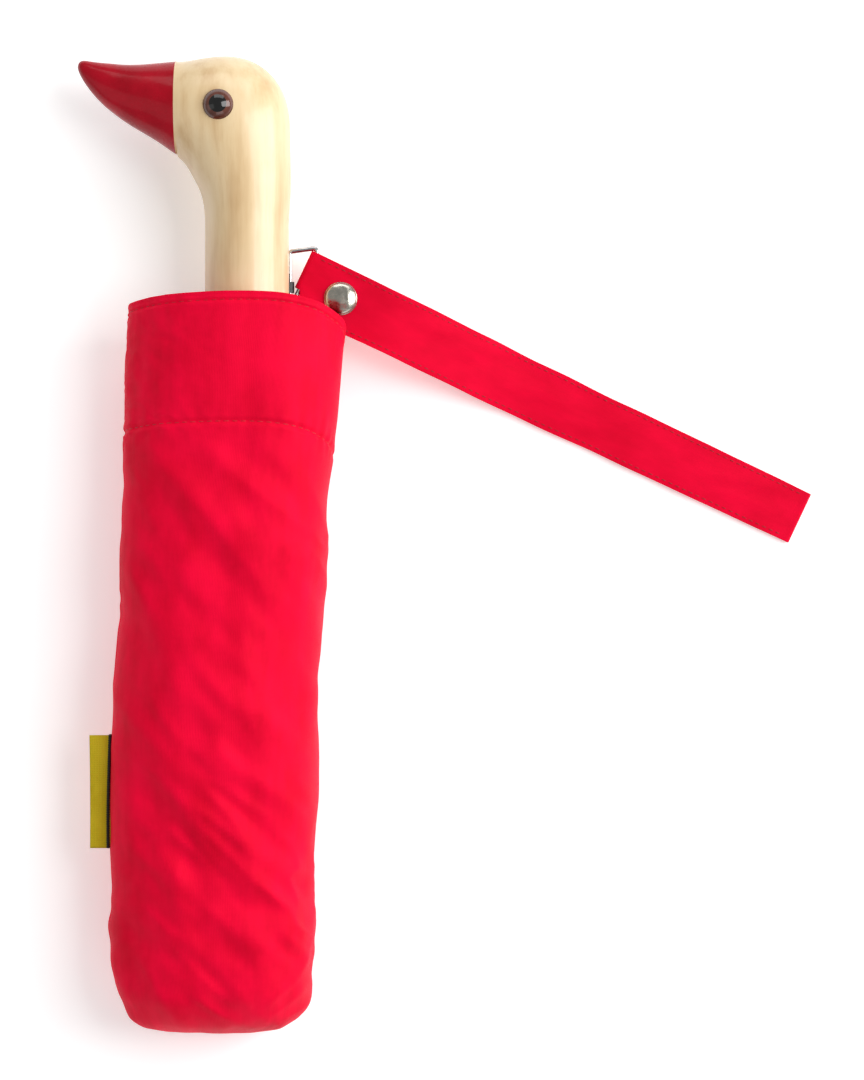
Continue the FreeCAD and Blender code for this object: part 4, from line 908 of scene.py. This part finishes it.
FINISHES = {
    "shaft_chrome": metal_finish("shaft_chrome", (0.80, 0.81, 0.82), 0.10, 0.22),
    "black_moulding": plastic_finish("black_moulding", (0.010, 0.010, 0.011), 0.38, 0.55),
    "spring_steel": metal_finish("spring_steel", (0.56, 0.56, 0.57), 0.22, 0.38),
    "rib_steel": plastic_finish("rib_steel", (0.014, 0.014, 0.016), 0.25, 0.40, grain=0.12, coat=0.3),
    "rib_rod": plastic_finish("rib_rod", (0.018, 0.018, 0.020), 0.28, 0.42, grain=0.10, coat=0.2),
    "canopy_fabric": cloth_finish("canopy_fabric", (0.40, 0.002, 0.012), (0.62, 0.004, 0.024), 3600.0,
                                  0.50, 0.03, 0.35),
    "pale_wood": wood_finish(),
    "red_lacquer": lacquer_finish(),
    "eye_amber": plastic_finish("eye_amber", (0.085, 0.022, 0.012), 0.10, 0.20, 260.0, 0.05, 0.35),
    "eye_black": plastic_finish("eye_black", (0.002, 0.002, 0.002), 0.06, 0.12, 260.0, 0.02, 0.25),
    "black_screw": metal_finish("black_screw", (0.030, 0.030, 0.032), 0.30, 0.45),
    "bright_wire": metal_finish("bright_wire", (0.62, 0.62, 0.63), 0.08, 0.20, 500.0),
    "strap_fabric": cloth_finish("strap_fabric", (0.62, 0.0005, 0.020), (0.82, 0.0010, 0.034), 2400.0,
                                 0.58, 0.015, 0.45),
    "snap_nickel": metal_finish("snap_nickel", (0.60, 0.57, 0.49), 0.10, 0.34, 520.0, 0.30),
    "sleeve_fabric": cloth_finish("sleeve_fabric", (0.66, 0.0006, 0.020), (0.94, 0.0018, 0.042), 2600.0,
                                  0.50, 0.015, 0.45),
    "tag_weave": cloth_finish("tag_weave", (0.46, 0.36, 0.010), (0.66, 0.53, 0.024), 1600.0,
                              0.55, 0.02, 0.8),
}
SEAM_THREAD = thread_finish("seam_thread", (0.70, 0.003, 0.024))
STRAP_THREAD = thread_finish("strap_thread", (0.42, 0.0010, 0.012))
BLACK_THREAD = thread_finish("black_thread", (0.012, 0.008, 0.008))


def finish_cad_nodes():
    """Each CAD piece takes the finish of its own material slot."""
    for piece in nodes.values():
        for index, slot in enumerate(piece.material_slots):
            name = slot.material.name.split(".")[0]
            if name not in FINISHES:
                raise SystemExit(f"no finish for {name}")
            piece.material_slots[index].material = FINISHES[name]


def dress(piece, finish):
    piece.data.materials.clear()
    piece.data.materials.append(finish)


finish_cad_nodes()
dress(make_sleeve(), FINISHES["sleeve_fabric"])
dress(sleeve_seam("hem_thread", HEM, 0, 360, 0.16), SEAM_THREAD)
dress(sleeve_seam("cuff_thread", CUFF, 0, 360, 0.18), SEAM_THREAD)
tag, tag_thread = make_tag()
dress(tag, FINISHES["tag_weave"])
dress(tag_thread, BLACK_THREAD)
for piece in make_canopy():
    dress(piece, FINISHES["canopy_fabric"])
dress(make_strap(), FINISHES["strap_fabric"])
dress(strap_seam("strap_thread_upper", 1, 1.5), STRAP_THREAD)
dress(strap_seam("strap_thread_lower", -1, 1.5), STRAP_THREAD)
dress(make_tab(), FINISHES["strap_fabric"])
dress(make_snap_cap(), FINISHES["snap_nickel"])


# ---------------------------------------------------------------- floor, light and camera
FLOOR_REACH = 3000.0
LENS = 100.0
VIEW_ACROSS = 63.9
VIEW_ALONG = 45.4
VIEW_DISTANCE = 1036.4
WORLD_LIGHT = 0.37


def make_stage():
    low, high = -FLOOR_REACH, FLOOR_REACH
    corners = [(low, low, 0), (high, low, 0), (high, high, 0), (low, high, 0)]
    floor = new_piece("floor", corners, [(0, 1, 2, 3)])
    finish, tree, shader = new_material("pale_floor")
    tone = noise_node(tree, object_place(tree), 3.0, 2.0)
    tree.links.new(grey_ramp(tree, tone, (0.3, 0.93), (0.7, 0.95)), shader.inputs["Base Color"])
    shader.inputs["Roughness"].default_value = 0.9
    shader.inputs["Specular IOR Level"].default_value = 0.1
    shader.inputs["Emission Color"].default_value = (1.0, 1.0, 1.0, 1.0)
    shader.inputs["Emission Strength"].default_value = 0.30
    dress(floor, finish)


def make_light(name, place, target, width, height, power):
    lamp = bpy.data.lights.new(name, "AREA")
    lamp.shape = "RECTANGLE"
    lamp.size = width
    lamp.size_y = height
    lamp.energy = power
    light = bpy.data.objects.new(name, lamp)
    light.location = place
    light.rotation_euler = (Vector(target) - Vector(place)).to_track_quat("-Z", "Y").to_euler()
    bpy.context.scene.collection.objects.link(light)


def make_camera():
    """Straight down on the table, with the shaft upright in the picture."""
    view = bpy.data.cameras.new("camera")
    view.sensor_width = 36.0
    view.lens = LENS
    view.clip_start = 0.01
    view.clip_end = 50.0
    camera = bpy.data.objects.new("camera", view)
    middle = Vector((VIEW_ACROSS, VIEW_ALONG, AXIS_HEIGHT))
    camera.location = (middle + Vector((0, 0, VIEW_DISTANCE))) * MM
    camera.rotation_euler = (0, 0, 0)
    bpy.context.scene.collection.objects.link(camera)
    bpy.context.scene.camera = camera


make_stage()
middle = (0.0, 0.05, 0.02)
make_light("key_softbox", (1.05, 0.30, 0.85), middle, 0.8, 1.5, 19.0)
make_light("fill_softbox", (-1.2, -0.2, 0.9), middle, 0.8, 1.4, 1.6)
make_light("back_softbox", (0.1, 1.35, 0.80), middle, 1.4, 0.6, 5.5)
make_light("front_softbox", (0.3, -1.35, 0.95), middle, 1.4, 0.6, 3.0)
world = bpy.data.worlds.new("studio")
world.use_nodes = True
world.node_tree.nodes["Background"].inputs["Color"].default_value = (1.0, 1.0, 1.0, 1.0)
world.node_tree.nodes["Background"].inputs["Strength"].default_value = WORLD_LIGHT
bpy.context.scene.world = world
bpy.context.scene.view_settings.view_transform = "Standard"
make_camera()
